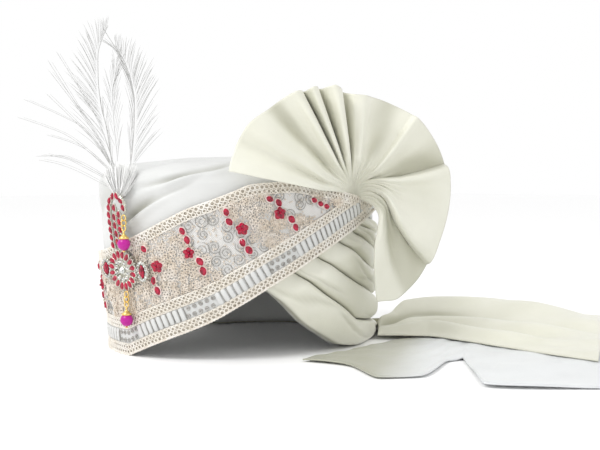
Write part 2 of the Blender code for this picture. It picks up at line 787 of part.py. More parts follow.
def brooch_place():
    """The brooch's frame: X to the wearer's left, Y up its stem, Z out of the band."""
    off = SEAT_GAP + BAND_THICKNESS + 0.0013
    origin = outer(BROOCH_ANGLE, BROOCH_HEIGHT, off)
    facing = Matrix.Rotation(math.radians(BROOCH_ANGLE * 1.2), 4, "Z")
    upright = Matrix.Rotation(math.radians(90.0 + BROOCH_LEAN), 4, "X")
    return Matrix.Translation(origin) @ facing @ upright


def lying(x, y, z, turn=0.0):
    return Matrix.Translation((x, y, z)) @ Matrix.Rotation(math.radians(turn), 4, "Z")


def disc(shape, place, radius, top_radius, depth, sides):
    bmesh.ops.create_cone(
        shape, cap_ends=True, segments=sides, radius1=radius, radius2=top_radius, depth=depth, matrix=place
    )


def make_flower(brooch, metal, collection, cutters, parent):
    """Round head of the brooch: a plate with a ring of petal stones, a ring of small ones, and an eye below."""
    plate = bmesh.new()
    wide = FLOWER_RADIUS + STONE_LENGTH * 0.30
    disc(plate, brooch @ lying(0, 0, BROOCH_PLATE / 2), wide, wide * 0.97, BROOCH_PLATE, FLOWER_PETALS)
    flower = link("brooch_flower", mesh_of("brooch_flower", plate), metal, collection, parent)
    extra = bmesh.new()
    for k in range(FLOWER_PETALS):
        turn = 2 * math.pi * (k + 0.5) / FLOWER_PETALS
        x, y = FLOWER_RADIUS * math.sin(turn), FLOWER_RADIUS * math.cos(turn)
        place = lying(x, y, BROOCH_PLATE + STONE_HEIGHT * 0.3, -math.degrees(turn))
        cut_stone(extra, STONE_LENGTH, STONE_WIDTH, STONE_HEIGHT, brooch @ place)
    ring = FLOWER_RADIUS * 0.50
    for k in range(8):
        turn = 2 * math.pi * k / 8
        place = lying(ring * math.sin(turn), ring * math.cos(turn), BROOCH_PLATE + STONE_HEIGHT * 0.3)
        cut_stone(extra, 0.0034, 0.0034, STONE_HEIGHT, brooch @ place)
    fused(flower, mesh_of("flower_stones", extra), cutters)
    return add_eye(flower, LOWER_DROP_EYE, brooch, cutters)


def eye_centre(eye, brooch):
    """Middle of a drop's eye, which stands forward of the brooch so that the bead hangs clear of the band."""
    x, y = eye
    return brooch @ Vector((x * PAISLEY_UNIT, y * PAISLEY_UNIT, EYE_FORWARD))


def hanging_frame(brooch):
    """Across and out directions for the drops, which hang straight down."""
    out = brooch.to_3x3() @ Vector((0, 0, 1))
    out = Vector((out.x, out.y, 0)).normalized()
    return Vector((0, 0, 1)).cross(out), out


def add_eye(base, eye, brooch, cutters):
    """An eye ring in the brooch's plane, on a stalk that runs back into the metal above it."""
    centre = eye_centre(eye, brooch)
    across, out = hanging_frame(brooch)
    up = Vector((0, 0, 1))
    ring = ring_points(centre, LINK_RADIUS, across, up)
    fused(base, wire_mesh(base.name + "_eye", [ring], LINK_WIRE, True), cutters)
    low = centre + up * (LINK_RADIUS - LINK_WIRE * 0.3)
    stalk = [low, centre + up * (LINK_RADIUS + 0.0034) - out * (EYE_FORWARD - 0.0012)]
    return fused(base, wire_mesh(base.name + "_stalk", [stalk], LINK_WIRE * 1.5), cutters)


def make_centre_stone(brooch, crystal, collection, parent):
    shape = bmesh.new()
    seat = BROOCH_PLATE + 0.0003 + STONE_HEIGHT * 0.6
    cut_stone(shape, 0.0052, 0.0052, STONE_HEIGHT * 1.2, brooch @ lying(0, 0, seat), 10)
    return link("centre_crystal", mesh_of("centre_crystal", shape), crystal, collection, parent)


def make_paisley(brooch, metal, collection, cutters, parent):
    """The paisley stem over the flower: bent wires carrying small marquise stones, and an eye at its tip."""
    base = FLOWER_RADIUS + STONE_LENGTH * 0.30 + 0.0003
    routes = []
    for route in PAISLEY_WIRES:
        points = [Vector((x * PAISLEY_UNIT, y * PAISLEY_UNIT, STEM_WIRE_RADIUS)) for x, y in route]
        points[0].y = math.sqrt(base**2 - points[0].x ** 2) + STEM_WIRE_RADIUS
        routes.append([brooch @ point for point in points])
    outline = wire_mesh("brooch_paisley", routes[:1], STEM_WIRE_RADIUS)
    stem = link("brooch_paisley", outline, metal, collection, parent)
    for number, route in enumerate(routes[1:]):
        fused(stem, wire_mesh(f"stem_wire_{number}", [route], STEM_WIRE_RADIUS * 0.96), cutters)
    for number, (height, first, last) in enumerate(PAISLEY_BRIDGES):
        level = STEM_WIRE_RADIUS * 0.9
        ends = [brooch @ Vector((x * PAISLEY_UNIT, height * PAISLEY_UNIT, level)) for x in (first, last)]
        fused(stem, wire_mesh(f"stem_bridge_{number}", [ends], STEM_WIRE_RADIUS * 0.8), cutters)
    extra = bmesh.new()
    for x, y, tilt in PAISLEY_STONES:
        place = lying(x * PAISLEY_UNIT, y * PAISLEY_UNIT, STEM_WIRE_RADIUS * 1.6 + STONE_HEIGHT * 0.3, tilt)
        cut_stone(extra, STONE_LENGTH * 0.82, STONE_WIDTH * 0.84, STONE_HEIGHT, brooch @ place)
    fused(stem, mesh_of("paisley_stones", extra), cutters)
    return add_eye(stem, UPPER_DROP_EYE, brooch, cutters)


def make_side(name, side, brooch, metal, ruby, collection, cutters, parent):
    """One side setting: a bowl edged with small crystals round a single marquise ruby, on an arm to the flower."""
    bend = Matrix.Rotation(math.radians(10.0 * side), 4, "Y")
    inner = FLOWER_RADIUS + STONE_LENGTH * 0.30
    local = lying(side * inner, 0, 0) @ bend @ lying(side * (SIDE_REACH - inner), 0, 0)
    plate = bmesh.new()
    oval = Matrix.Diagonal((0.98, 1.35, 1.0, 1.0))
    middle = brooch @ local @ lying(0, 0, BROOCH_PLATE / 2) @ oval
    disc(plate, middle, SIDE_RADIUS, SIDE_RADIUS * 0.92, BROOCH_PLATE, 16)
    setting = link(name + "_setting", mesh_of(name, plate), metal, collection, parent)
    extra = bmesh.new()
    for k in range(8):
        turn = 2 * math.pi * (k + 0.5) / 8
        x, y = SIDE_RADIUS * 0.86 * math.sin(turn), SIDE_RADIUS * 1.18 * math.cos(turn)
        place = brooch @ local @ lying(x, y, BROOCH_PLATE + STONE_HEIGHT * 0.25)
        cut_stone(extra, 0.0024, 0.0024, STONE_HEIGHT, place)
    fused(setting, mesh_of(name + "_crystals", extra), cutters)
    arm = [(side * (inner + 0.0009), 0.0, 0.0007), (side * (inner + 0.0035), 0.0, 0.0006)]
    fused(setting, wire_mesh(name + "_arm", [[brooch @ Vector(point) for point in arm]], 0.0006), cutters)
    shape = bmesh.new()
    seat = BROOCH_PLATE + 0.0003 + STONE_HEIGHT * 0.6
    cut_stone(shape, 0.0086, 0.0040, STONE_HEIGHT * 1.2, brooch @ local @ lying(0, 0, seat), 10)
    return [setting, link(name + "_ruby", mesh_of(name + "_ruby", shape), ruby, collection, parent)]


def ring_points(centre, radius, first, second, count=12):
    turns = [2 * math.pi * k / count for k in range(count)]
    return [centre + first * (radius * math.cos(turn)) + second * (radius * math.sin(turn)) for turn in turns]


def turned(name, centre, profile, sides, finish, collection, parent, closed=False):
    """A body turned about the vertical: profile lists its radius and its height. Closed profiles make a ring."""
    shape = bmesh.new()
    loops = []
    for radius, height in profile:
        ring = ring_points(centre + Vector((0, 0, height)), radius, Vector((1, 0, 0)), Vector((0, 1, 0)), sides)
        loops.append([shape.verts.new(point) for point in ring])
    pairs = list(zip(loops, loops[1:])) + ([(loops[-1], loops[0])] if closed else [])
    for first, second in pairs:
        for k in range(sides):
            after = (k + 1) % sides
            shape.faces.new((first[k], first[after], second[after], second[k]))
    if not closed:
        shape.faces.new(loops[0])
        shape.faces.new(loops[-1])
    bmesh.ops.recalc_face_normals(shape, faces=shape.faces)
    return link(name, mesh_of(name, shape), finish, collection, parent)


def make_drop(name, eye, brooch, gold, pink, collection, cutters, parent):
    """A bead drop: a link through the brooch's eye, and a capped bead on a pin that ends in a loop."""
    across, out = hanging_frame(brooch)
    up = Vector((0, 0, 1))
    reach = 2 * (LINK_RADIUS - LINK_WIRE) - 0.0003
    link_centre = eye_centre(eye, brooch) - up * reach
    loop_centre = link_centre - up * reach
    bead_centre = loop_centre - up * (LINK_RADIUS + 0.0048 + BEAD_RADIUS)
    hoop_mesh = wire_mesh(name + "_link", [ring_points(link_centre, LINK_RADIUS, out, up)], LINK_WIRE, True)
    hoop = link(name + "_link", hoop_mesh, gold, collection, parent)
    profile = [
        (BEAD_HOLE_RADIUS * 0.55, -BEAD_RADIUS - 0.0008),
        (BEAD_HOLE_RADIUS * 0.55, BEAD_RADIUS * 1.06),
        (BEAD_RADIUS * 0.34, BEAD_RADIUS * 1.03),
        (BEAD_RADIUS * 0.62, BEAD_RADIUS * 0.88),
        (BEAD_RADIUS * 0.66, BEAD_RADIUS * 0.92),
        (BEAD_RADIUS * 0.56, BEAD_RADIUS * 1.16),
        (BEAD_RADIUS * 0.26, BEAD_RADIUS * 1.44),
        (BEAD_RADIUS * 0.13, BEAD_RADIUS * 1.60),
        (BEAD_RADIUS * 0.12, BEAD_RADIUS + 0.0050),
    ]
    cap = turned(name + "_cap", bead_centre, profile, 8, gold, collection, parent)
    loop = ring_points(loop_centre, LINK_RADIUS, across, up)
    fused(cap, wire_mesh(name + "_loop", [loop], LINK_WIRE, True), cutters)
    head = bmesh.new()
    place = Matrix.Translation(bead_centre - up * (BEAD_RADIUS + 0.0008))
    bmesh.ops.create_icosphere(head, subdivisions=1, radius=0.0011, matrix=place)
    fused(cap, mesh_of(name + "_head", head), cutters)
    turns = [math.radians(-76 + 152 * k / 7) for k in range(8)]
    bead_profile = [(BEAD_RADIUS * math.cos(turn), BEAD_RADIUS * math.sin(turn)) for turn in turns]
    bead_profile[0] = (BEAD_HOLE_RADIUS, bead_profile[0][1])
    bead_profile[-1] = (BEAD_HOLE_RADIUS, bead_profile[-1][1])
    bead = turned(name + "_bead", bead_centre, bead_profile, BEAD_SIDES, pink, collection, parent, closed=True)
    return [hoop, cap, bead]


def plume_root(brooch):
    return brooch @ Vector((0.0025, PLUME_ROOT_HEIGHT, -0.0026))


def make_plume(brooch, white, collection, cutters, parent):
    """The plume: a bound root behind the paisley, with each feather and wisp a tapered lock fused to it."""
    root = plume_root(brooch)
    turn = math.radians(PLUME_TURN)
    across = Vector((math.cos(turn), math.sin(turn), 0.0))
    facing = Vector((math.sin(turn), -math.cos(turn), 0.0))
    up = Vector((0, 0, 1))
    quill = wire_mesh("plume", [[root - up * 0.010, root + up * 0.006]], PLUME_QUILL_RADIUS)
    plume = link("plume", quill, white, collection, parent)
    head = bmesh.new()
    shape = Matrix.Translation(root + up * 0.0035) @ Matrix.Diagonal((1.0, 1.0, 2.0, 1.0))
    bmesh.ops.create_icosphere(head, subdivisions=2, radius=0.0022, matrix=shape)
    fused(plume, mesh_of("plume_head", head), cutters)
    for number, (name, wide, route) in enumerate(PLUME_ROWS):
        ups, sides = [point[1] for point in route], [point[0] for point in route]
        rings = []
        count = 8
        for k in range(count):
            share = k / (count - 1)
            height = ups[0] + (ups[-1] - ups[0]) * share
            side = through(ups, sides, height)
            ahead = through(ups, sides, height + 0.01) - through(ups, sides, height - 0.01)
            ahead = ahead / (min(height + 0.01, ups[-1]) - max(height - 0.01, ups[0]))
            level = (across - up * ahead).normalized()
            spread = math.sin(math.pi * share**0.8) ** 0.7 if 0 < share < 1 else 0.0
            width = PLUME_LENGTH * wide * max(spread, 0.035)
            rise = PLUME_LENGTH * 0.07 * height * height
            centre = root + across * (PLUME_LENGTH * side) + up * (PLUME_LENGTH * height + 0.001) + facing * rise
            thick = PLUME_BLADE_THICKNESS * (1.0 - 0.07 * number - 0.45 * share)
            blade = facing * thick
            rings.append([centre - level * width, centre + blade, centre + level * width, centre - blade])
        lock = loft_mesh(name, rings)
        fused(plume, lock, cutters)
    return plume


def band_frame(angle, height, off, turn=0.0):
    """A frame on the band's face: Y up it, Z out of it, turned about Z."""
    up = (outer(angle, height + 0.002) - outer(angle, height - 0.002)).normalized()
    out = outward(angle, height)
    side = up.cross(out)
    frame = Matrix((side, up, out)).transposed().to_4x4()
    return Matrix.Translation(outer(angle, height, off)) @ frame @ Matrix.Rotation(math.radians(turn), 4, "Z")


def make_sprays(gold, collection, cutters, parent):
    """Sprays of cut stones on the band: a flower stone in a line of ovals on a bent stem."""
    sprays = []
    over = SEAT_GAP + BAND_THICKNESS + LACE_GAP
    for number, row in enumerate(SPRAYS, start=1):
        spots = []
        for angle, share, size in row:
            low, high = band_edge("lower", angle), band_edge("upper", angle)
            spots.append((angle, low + (high - low) * share, size))
        stem = [outer(angle, height, over + SPRAY_STEM_RADIUS) for angle, height, _ in spots]
        name = f"stone_spray_{number}"
        spray = link(name, wire_mesh(name, [stem], SPRAY_STEM_RADIUS), gold, collection, parent)
        extra = bmesh.new()
        for k, (angle, height, size) in enumerate(spots):
            before, after = stem[max(k - 1, 0)], stem[min(k + 1, len(stem) - 1)]
            frame = band_frame(angle, height, over + STONE_HEIGHT / 2)
            way = frame.inverted().to_3x3() @ (before - after)
            turn = math.degrees(math.atan2(-way.x, way.y))
            length = SPRAY_STONE * size if size else SPRAY_FLOWER
            width = length * 0.68 if size else SPRAY_FLOWER * 0.92
            place = band_frame(angle, height, over + STONE_HEIGHT / 2, turn)
            cut_stone(extra, length, width, STONE_HEIGHT, place)
        sprays.append(fused(spray, mesh_of(name + "_stones", extra), cutters))
    return sprays


def settle(collection):
    """Moves the whole object so that its footprint's middle is at the origin."""
    bpy.context.view_layer.update()
    graph = bpy.context.evaluated_depsgraph_get()
    points = []
    for obj in collection.objects:
        if obj.type != "MESH":
            continue
        evaluated = obj.evaluated_get(graph)
        mesh = evaluated.to_mesh()
        points += [vertex.co.copy() for vertex in mesh.vertices]
        evaluated.to_mesh_clear()
    low = Vector([min(point[k] for point in points) for k in range(3)])
    high = Vector([max(point[k] for point in points) for k in range(3)])
    return Vector((-(low.x + high.x) / 2, -(low.y + high.y) / 2, -low.z))


def main():
    for obj in list(bpy.data.objects):
        bpy.data.objects.remove(obj)
    scene = bpy.context.scene
    collection = bpy.data.collections.new("pagri")
    cutters = bpy.data.collections.new("helpers")
    scene.collection.children.link(collection)
    scene.collection.children.link(cutters)
    cutters.hide_render = True
    parent = bpy.data.objects.new("pagri_frame", None)
    scene.collection.objects.link(parent)
    satin = material("satin", (0.80, 0.77, 0.66), 0.4)
    embroidered = material("embroidered", (0.76, 0.68, 0.54), 0.6)
    lace = material("lace", (0.72, 0.62, 0.46), 0.55)
    silver = material("silver", (0.82, 0.82, 0.84), 0.25, 1.0)
    gold = material("gold", (0.85, 0.62, 0.28), 0.3, 1.0)
    ruby = material("ruby", (0.45, 0.01, 0.04), 0.15)
    crystal = material("crystal", (0.86, 0.88, 0.92), 0.1)
    pink = material("magenta_bead", (0.55, 0.05, 0.25), 0.25)
    down = material("feather", (0.92, 0.92, 0.90), 0.7)
    make_crown(satin, collection, parent)
    make_rolls(satin, collection, parent)
    make_band(embroidered, lace, collection, parent)
    make_sprays(ruby, collection, cutters, parent)
    make_fan(satin, collection, parent)
    make_tail(satin, collection, parent)
    brooch = brooch_place()
    make_flower(brooch, silver, collection, cutters, parent)
    make_centre_stone(brooch, crystal, collection, parent)
    make_paisley(brooch, silver, collection, cutters, parent)
    make_side("left_side", 1, brooch, silver, ruby, collection, cutters, parent)
    make_side("right_side", -1, brooch, silver, ruby, collection, cutters, parent)
    make_drop("upper_drop", UPPER_DROP_EYE, brooch, gold, pink, collection, cutters, parent)
    make_drop("lower_drop", LOWER_DROP_EYE, brooch, gold, pink, collection, cutters, parent)
    make_plume(brooch, down, collection, cutters, parent)
    parent.location = settle(collection)


main()
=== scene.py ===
# %% [markdown]
# # A tied wedding pagri, dressed
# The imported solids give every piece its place. This lesson puts cloth, lace, stones and feathers over
# them: each piece is a surface worked out on a grid with numpy, and each finish is a few shader nodes
# written as expressions. The wearer faces -Y and their left is +X, and every size is in metres.

import math

import bpy
import numpy as np
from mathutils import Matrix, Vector


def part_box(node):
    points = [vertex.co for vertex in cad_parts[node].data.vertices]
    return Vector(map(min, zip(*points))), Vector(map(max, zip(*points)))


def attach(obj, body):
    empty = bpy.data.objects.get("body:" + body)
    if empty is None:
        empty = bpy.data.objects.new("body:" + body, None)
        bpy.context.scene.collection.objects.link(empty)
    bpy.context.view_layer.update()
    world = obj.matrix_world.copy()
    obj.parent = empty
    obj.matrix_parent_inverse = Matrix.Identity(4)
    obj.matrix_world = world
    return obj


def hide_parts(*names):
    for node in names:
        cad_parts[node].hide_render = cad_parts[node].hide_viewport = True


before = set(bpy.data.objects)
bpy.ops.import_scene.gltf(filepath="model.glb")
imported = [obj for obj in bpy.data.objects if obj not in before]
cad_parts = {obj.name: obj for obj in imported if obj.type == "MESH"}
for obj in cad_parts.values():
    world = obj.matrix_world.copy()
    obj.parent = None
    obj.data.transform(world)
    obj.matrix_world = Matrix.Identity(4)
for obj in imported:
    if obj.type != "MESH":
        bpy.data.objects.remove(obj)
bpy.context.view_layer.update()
random = np.random.default_rng(7)
print("solids:", len(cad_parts))

# %% [markdown]
# ## The form that everything is wound on
# A turban is an oval drum. Its outline at each height is the same ellipse, drawn in towards the brow in
# front and rounded over at the top, so one function of angle and height carries the crown, the rolls, the
# band and its lace. Angles are in degrees from the front, positive round the wearer's left.

# %% Tables of the form, as shares of the turban's height
HALF_WIDTH = 0.098
HALF_LENGTH = 0.116
HEIGHT = 0.148
HEAD_HALF_WIDTH = 0.079
HEAD_HALF_LENGTH = 0.099
UNDERWRAP = 0.0035
ROLL_BULGE = 0.0045
FLARE = ((0.0, 0.896), (0.375, 0.948), (0.62, 0.982), (0.78, 1.0), (1.0, 1.0))
DOME = ((0.845, 1.0), (0.885, 0.985), (0.92, 0.94), (0.943, 0.86), (0.963, 0.64), (0.990, 0.25), (0.993, 0.0))
BAND_LOWER = (
    (-78, 0.338), (-70, 0.311), (-60, 0.264), (-50, 0.155), (-42, 0.061), (-34, 0.008), (-26, 0.0),
    (0, 0.0), (7, 0.025), (14, 0.056), (27, 0.114), (36, 0.155), (45, 0.203), (52, 0.252),
    (59, 0.303), (66, 0.357), (74, 0.414), (82, 0.474), (90, 0.530), (100, 0.594), (106, 0.625),
    (113, 0.661), (122, 0.700), (125, 0.708),
)
BAND_UPPER = (
    (-78, 0.378), (-70, 0.399), (-60, 0.426), (-50, 0.453), (-42, 0.473), (-34, 0.490),
    (-26, 0.500), (-12, 0.518), (0, 0.551), (7, 0.576), (14, 0.607), (27, 0.680), (36, 0.733),
    (45, 0.775), (52, 0.811), (59, 0.846), (66, 0.854), (74, 0.860), (82, 0.844), (90, 0.828),
    (100, 0.800), (106, 0.785), (113, 0.757), (122, 0.738), (125, 0.724),
)
CREASES = ("angle", "rim", "first", "second", "third", "fourth", "fifth", "top")
CREASE_ROWS = (
    (57, 0.405, 0.561, 0.716, 0.870, 0.900, 0.915, 0.925),
    (66, 0.333, 0.500, 0.662, 0.818, 0.880, 0.900, 0.915),
    (74, 0.250, 0.443, 0.595, 0.757, 0.858, 0.885, 0.905),
    (82, 0.160, 0.378, 0.534, 0.689, 0.797, 0.851, 0.889),
    (92, 0.084, 0.294, 0.459, 0.615, 0.730, 0.797, 0.851),
    (103, 0.020, 0.216, 0.385, 0.537, 0.655, 0.723, 0.787),
    (115, 0.0, 0.135, 0.318, 0.456, 0.574, 0.642, 0.716),
    (150, 0.0, 0.088, 0.209, 0.338, 0.446, 0.520, 0.601),
    (180, 0.0, 0.081, 0.189, 0.304, 0.405, 0.480, 0.561),
)
ROLLS = (
    ("rim", "first", 58, 58),
    ("first", "second", 68, 63),
    ("second", "third", 79, 68),
    ("third", "fourth", 90, 73),
    ("fourth", "fifth", 100, 76),
    ("fifth", "top", 106, 79),
)
crown_low, crown_high = (np.array(corner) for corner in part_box("crown"))
HEAD = np.array([*(crown_low + crown_high)[:2] / 2, 0.0])
print("middle of the head:", HEAD.round(4))


def through(rows, at):
    """A smooth line through a table of (place, value): cubic pieces whose slopes never overshoot."""
    x, y = np.array(rows, float).T
    step = np.diff(y) / np.diff(x)
    before, after = step[:-1], step[1:]
    total = np.where(before + after == 0, 1.0, before + after)
    slope = np.concatenate([[0.0], np.where(before * after > 0, 2 * before * after / total, 0.0), [0.0]])
    at = np.clip(at, x[0], x[-1])
    k = np.clip(np.searchsorted(x, at, side="right") - 1, 0, len(x) - 2)
    width = np.diff(x)[k]
    s = (at - x[k]) / width
    bend = s * (1 - s) * ((1 - s) * slope[k] - s * slope[k + 1]) * width
    return y[k] + (y[k + 1] - y[k]) * s * s * (3 - 2 * s) + bend


def smooth(x):
    """A soft step: 0 below 0, 1 above 1, and 3x^2 - 2x^3 between."""
    x = np.clip(x, 0.0, 1.0)
    return x * x * (3 - 2 * x)


def signed(angle):
    """The same angle between -180 and 180 degrees."""
    return (np.asarray(angle, float) + 180.0) % 360.0 - 180.0


def on_ellipse(angle, half_width, half_length, height):
    """A point of an ellipse: half the width times the sine, and minus half the length times the cosine."""
    turn = np.radians(angle)
    x, y, z = np.broadcast_arrays(np.sin(turn) * half_width, -np.cos(turn) * half_length, height)
    return np.stack([x, y, z], -1) + HEAD


def outside(angle, height, off=0.0):
    """A point of the turban's outside: the ellipse, flared in front and rounded over, moved out by off."""
    share = np.asarray(height, float) / HEIGHT
    front = 0.5 + 0.5 * np.cos(np.radians(angle))
    scale = (1 - (1 - through(FLARE, share)) * front) * through(DOME, share)
    return on_ellipse(angle, HALF_WIDTH * scale + off, HALF_LENGTH * scale + off, height)


def underneath(angle, height, off=0.0):
    """A point of the thin underwrap that the rolls lie on."""
    return on_ellipse(angle, HEAD_HALF_WIDTH + UNDERWRAP + off, HEAD_HALF_LENGTH + UNDERWRAP + off, height)


def crease(name, angle):
    """Height of the line between two rolls: its column of the table, the same on both sides of the head."""
    column = CREASES.index(name)
    rows = [(row[0], row[column]) for row in CREASE_ROWS]
    return HEIGHT * through(rows, np.abs(signed(angle)))


def band_low(angle):
    """Height of the band's lower edge, through its table."""
    return HEIGHT * through(BAND_LOWER, signed(angle))


def band_high(angle):
    """Height of the band's upper edge, through its table."""
    return HEIGHT * through(BAND_UPPER, signed(angle))


def unit(vectors):
    """Vectors divided by their lengths."""
    return vectors / np.maximum(np.linalg.norm(vectors, axis=-1, keepdims=True), 1e-12)


def face_of_band(angle, height, off):
    """A place on the outside and its three directions: across to the wearer's left, up the cloth, and out."""
    up = unit(outside(angle, height + 0.001, off) - outside(angle, height - 0.001, off))
    across = unit(outside(angle + 0.3, height, off) - outside(angle - 0.3, height, off))
    out = unit(np.cross(across, up))
    return outside(angle, height, off), across, np.cross(out, across), out


print("outside at the brow:", outside(0.0, HEIGHT / 2).round(4))

# %% [markdown]
# ## Helpers for making meshes
# Cloth could be drawn by hand in edit mode, but then no size could change. Here a grid of points becomes
# a mesh of quads in one go, and a small shape is copied to many places by multiplying arrays. Every shell
# is closed, with its faces turned outwards, and Blender's Solidify modifier gives an open sheet its wall.

# %% Grids, copies and tubes
def finish_piece(name, mesh, material, is_smooth=True):
    """A mesh as an object of the scene, shaded, with its material, riding on the frame's one body."""
    mesh.validate()
    mesh.shade_smooth() if is_smooth else mesh.shade_flat()
    piece = bpy.data.objects.new(name, mesh)
    mesh.materials.append(material)
    bpy.context.scene.collection.objects.link(piece)
    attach(piece, "root")
    return piece


def mesh_from(name, points, faces):
    """A mesh from an array of points and an array of faces, all with the same number of corners."""
    mesh = bpy.data.meshes.new(name)
    mesh.from_pydata(np.asarray(points, float).reshape(-1, 3).tolist(), [], np.asarray(faces).tolist())
    return mesh


def grid_faces(rows, columns, wrap_rows=False, wrap_columns=False):
    """Quads between neighbours of a grid of points, joined round where a direction closes on itself."""
    row = np.arange(rows if wrap_rows else rows - 1)
    column = np.arange(columns if wrap_columns else columns - 1)
    r, c = (part.ravel() for part in np.meshgrid(row, column, indexing="ij"))
    r_next, c_next = (r + 1) % rows, (c + 1) % columns
    here, ahead = r * columns, r_next * columns
    return np.stack([here + c, here + c_next, ahead + c_next, ahead + c], -1)


def give_fold_shade(mesh, fold_shade):
    """Stores how deep in a fold each point lies, from 0 on a ridge to 1, as the share of the satin's painted
    shade.
    """
    layer = mesh.attributes.new("fold_shade", "FLOAT", "POINT")
    values = np.zeros(len(mesh.vertices))
    values[: np.size(fold_shade)] = np.clip(np.ravel(fold_shade), 0.0, 1.0)
    layer.data.foreach_set("value", values)


def give_uv(mesh, u, v):
    """Stores a place on the cloth for each point, in metres, as the UV map that the finishes read."""
    layer = mesh.uv_layers.new(name="UVMap")
    corner = np.empty(len(mesh.loops), int)
    mesh.loops.foreach_get("vertex_index", corner)
    values = np.stack([np.ravel(u)[corner], np.ravel(v)[corner]], -1)
    layer.data.foreach_set("uv", values.ravel())


def cloth_piece(name, points, uv, material, wall, side=-1.0, flip=False, fold_shade=0.0):
    """An open grid of points as a sheet, its wall on the inner side, or on both sides with side=0."""
    faces = grid_faces(*points.shape[:2])
    mesh = mesh_from(name, points, faces[:, ::-1] if flip else faces)
    give_uv(mesh, *uv)
    give_fold_shade(mesh, fold_shade)
    piece = finish_piece(name, mesh, material)
    solid = piece.modifiers.new("wall", "SOLIDIFY")
    solid.thickness = wall
    solid.offset = side
    return piece


def ring_piece(name, loops, material, uv, fold_shade, pole=None, flip=False):
    """Closed loops (count, around, 3) joined into one skin, its ends closed to their middles or a pole."""
    count, around = loops.shape[:2]
    points = loops.reshape(-1, 3)
    first, last = len(points), len(points) + 1
    points = np.concatenate([points, [loops[0].mean(0), loops[-1].mean(0) if pole is None else pole]])
    k = np.arange(around)
    after = (k + 1) % around
    tail = (count - 1) * around
    faces = grid_faces(count, around, False, True).tolist()
    faces += np.c_[np.full(around, first), after, k].tolist()
    faces += np.c_[np.full(around, last), k + tail, after + tail].tolist()
    mesh = bpy.data.meshes.new(name)
    mesh.from_pydata(points.tolist(), [], [face[::-1] for face in faces] if flip else faces)
    u, v = (np.ravel(part) for part in uv)
    give_uv(mesh, np.r_[u, u[[0, -1]]], np.r_[v, v[[0, -1]]])
    give_fold_shade(mesh, fold_shade)
    return finish_piece(name, mesh, material)


def copies(shape, origin, directions, size):
    """Copies of a small shape: each point becomes origin + across*x + up*y + out*z, with x, y and z sized."""
    points, faces = shape
    size = np.broadcast_to(np.asarray(size, float), (len(origin), 3))
    local = points[None] * size[:, None]
    placed = origin[:, None] + sum(local[..., k : k + 1] * directions[k][:, None] for k in range(3))
    first = np.arange(len(origin)) * len(points)
    return placed.reshape(-1, 3), (faces[None] + first[:, None, None]).reshape(-1, 3)


def joined(name, parts, material, is_smooth=True):
    """Several (points, triangles) pairs as one piece."""
    points, faces, start = [], [], 0
    for part_points, part_faces in parts:
        points.append(part_points)
        faces.append(part_faces + start)
        start += len(part_points)
    mesh = mesh_from(name, np.concatenate(points), np.concatenate(faces))
    return finish_piece(name, mesh, material, is_smooth)


def split_quads(quads):
    """Each quad as two triangles along its first diagonal."""
    return np.concatenate([quads[:, [0, 1, 2]], quads[:, [0, 2, 3]]])


def stacked(outline, levels):
    """A small closed shape: an outline in x and y, repeated at levels of (scale, height), and capped."""
    around = len(outline)
    flat = [np.c_[outline * scale, np.full(around, height)] for scale, height in levels]
    points = np.concatenate([*flat, [[0, 0, levels[0][1]], [0, 0, levels[-1][1]]]])
    faces = split_quads(grid_faces(len(levels), around, False, True))
    k = np.arange(around)
    after = (k + 1) % around
    low, high = len(levels) * around, len(levels) * around + 1
    top = (len(levels) - 1) * around
    caps = [np.c_[np.full(around, low), after, k], np.c_[np.full(around, high), k + top, after + top]]
    return points, np.concatenate([faces, *caps])


def circle(sides):
    """A round outline of diameter one."""
    turn = 2 * math.pi * np.arange(sides) / sides
    return np.c_[np.cos(turn), np.sin(turn)] / 2


def marquise(sides=12):
    """The pointed oval of a marquise stone: a circle of diameter one, its cosine raised to a power."""
    x, y = 2 * circle(sides).T
    return np.c_[np.sign(x) * np.abs(x) ** 1.35, y] / 2


def torus(wire, around=12, sides=6):
    """A ring of diameter one: a small circle, with the wire's radius, carried round a large one."""
    large_x, large_y = 2 * circle(around).T[..., None]
    small_x, small_y = 2 * circle(sides).T
    reach = 0.5 - wire + wire * small_x
    points = np.stack(np.broadcast_arrays(large_x * reach, large_y * reach, wire * small_y), -1)
    return points.reshape(-1, 3), split_quads(grid_faces(around, sides, True, True))[:, ::-1]


def ball(around=8, rings=5):
    """A ball of diameter one: circles as wide as the cosine of their latitude, at its sine."""
    turns = np.radians(np.linspace(-90, 90, rings + 2)[1:-1])
    return stacked(circle(around), [(math.cos(turn), math.sin(turn) / 2) for turn in turns])


def tube_faces(length, sides):
    """Triangles of a tube of rings, with a fan over each end."""
    k = np.arange(1, sides - 1)
    start = np.zeros(sides - 2, int)
    far = (length - 1) * sides
    ends = [np.c_[start, k + 1, k], np.c_[start, k, k + 1] + far]
    return np.concatenate([split_quads(grid_faces(length, sides, False, True)), *ends])


def tubes(paths, outs, radius, sides=5):
    """Round threads: a ring of points about each point of the paths, thinned towards both ends."""
    along = unit(np.gradient(paths, axis=1))
    side = unit(np.cross(along, outs))
    out = np.cross(side, along)
    count, length = paths.shape[:2]
    share = np.linspace(0, 1, length)
    thick = radius * np.clip(np.minimum(share, 1 - share) * length / 1.2, 0.05, 1)
    x, y = 2 * circle(sides).T[..., None]
    points = paths[:, :, None] + (side[:, :, None] * x + out[:, :, None] * y) * thick[:, None, None]
    faces = tube_faces(length, sides)[:, ::-1][None] + (np.arange(count) * length * sides)[:, None, None]
    return points.reshape(-1, 3), faces.reshape(-1, 3)


print("triangles of a knot and of a thread:", len(ball(6, 3)[1]), len(tube_faces(9, 3)))

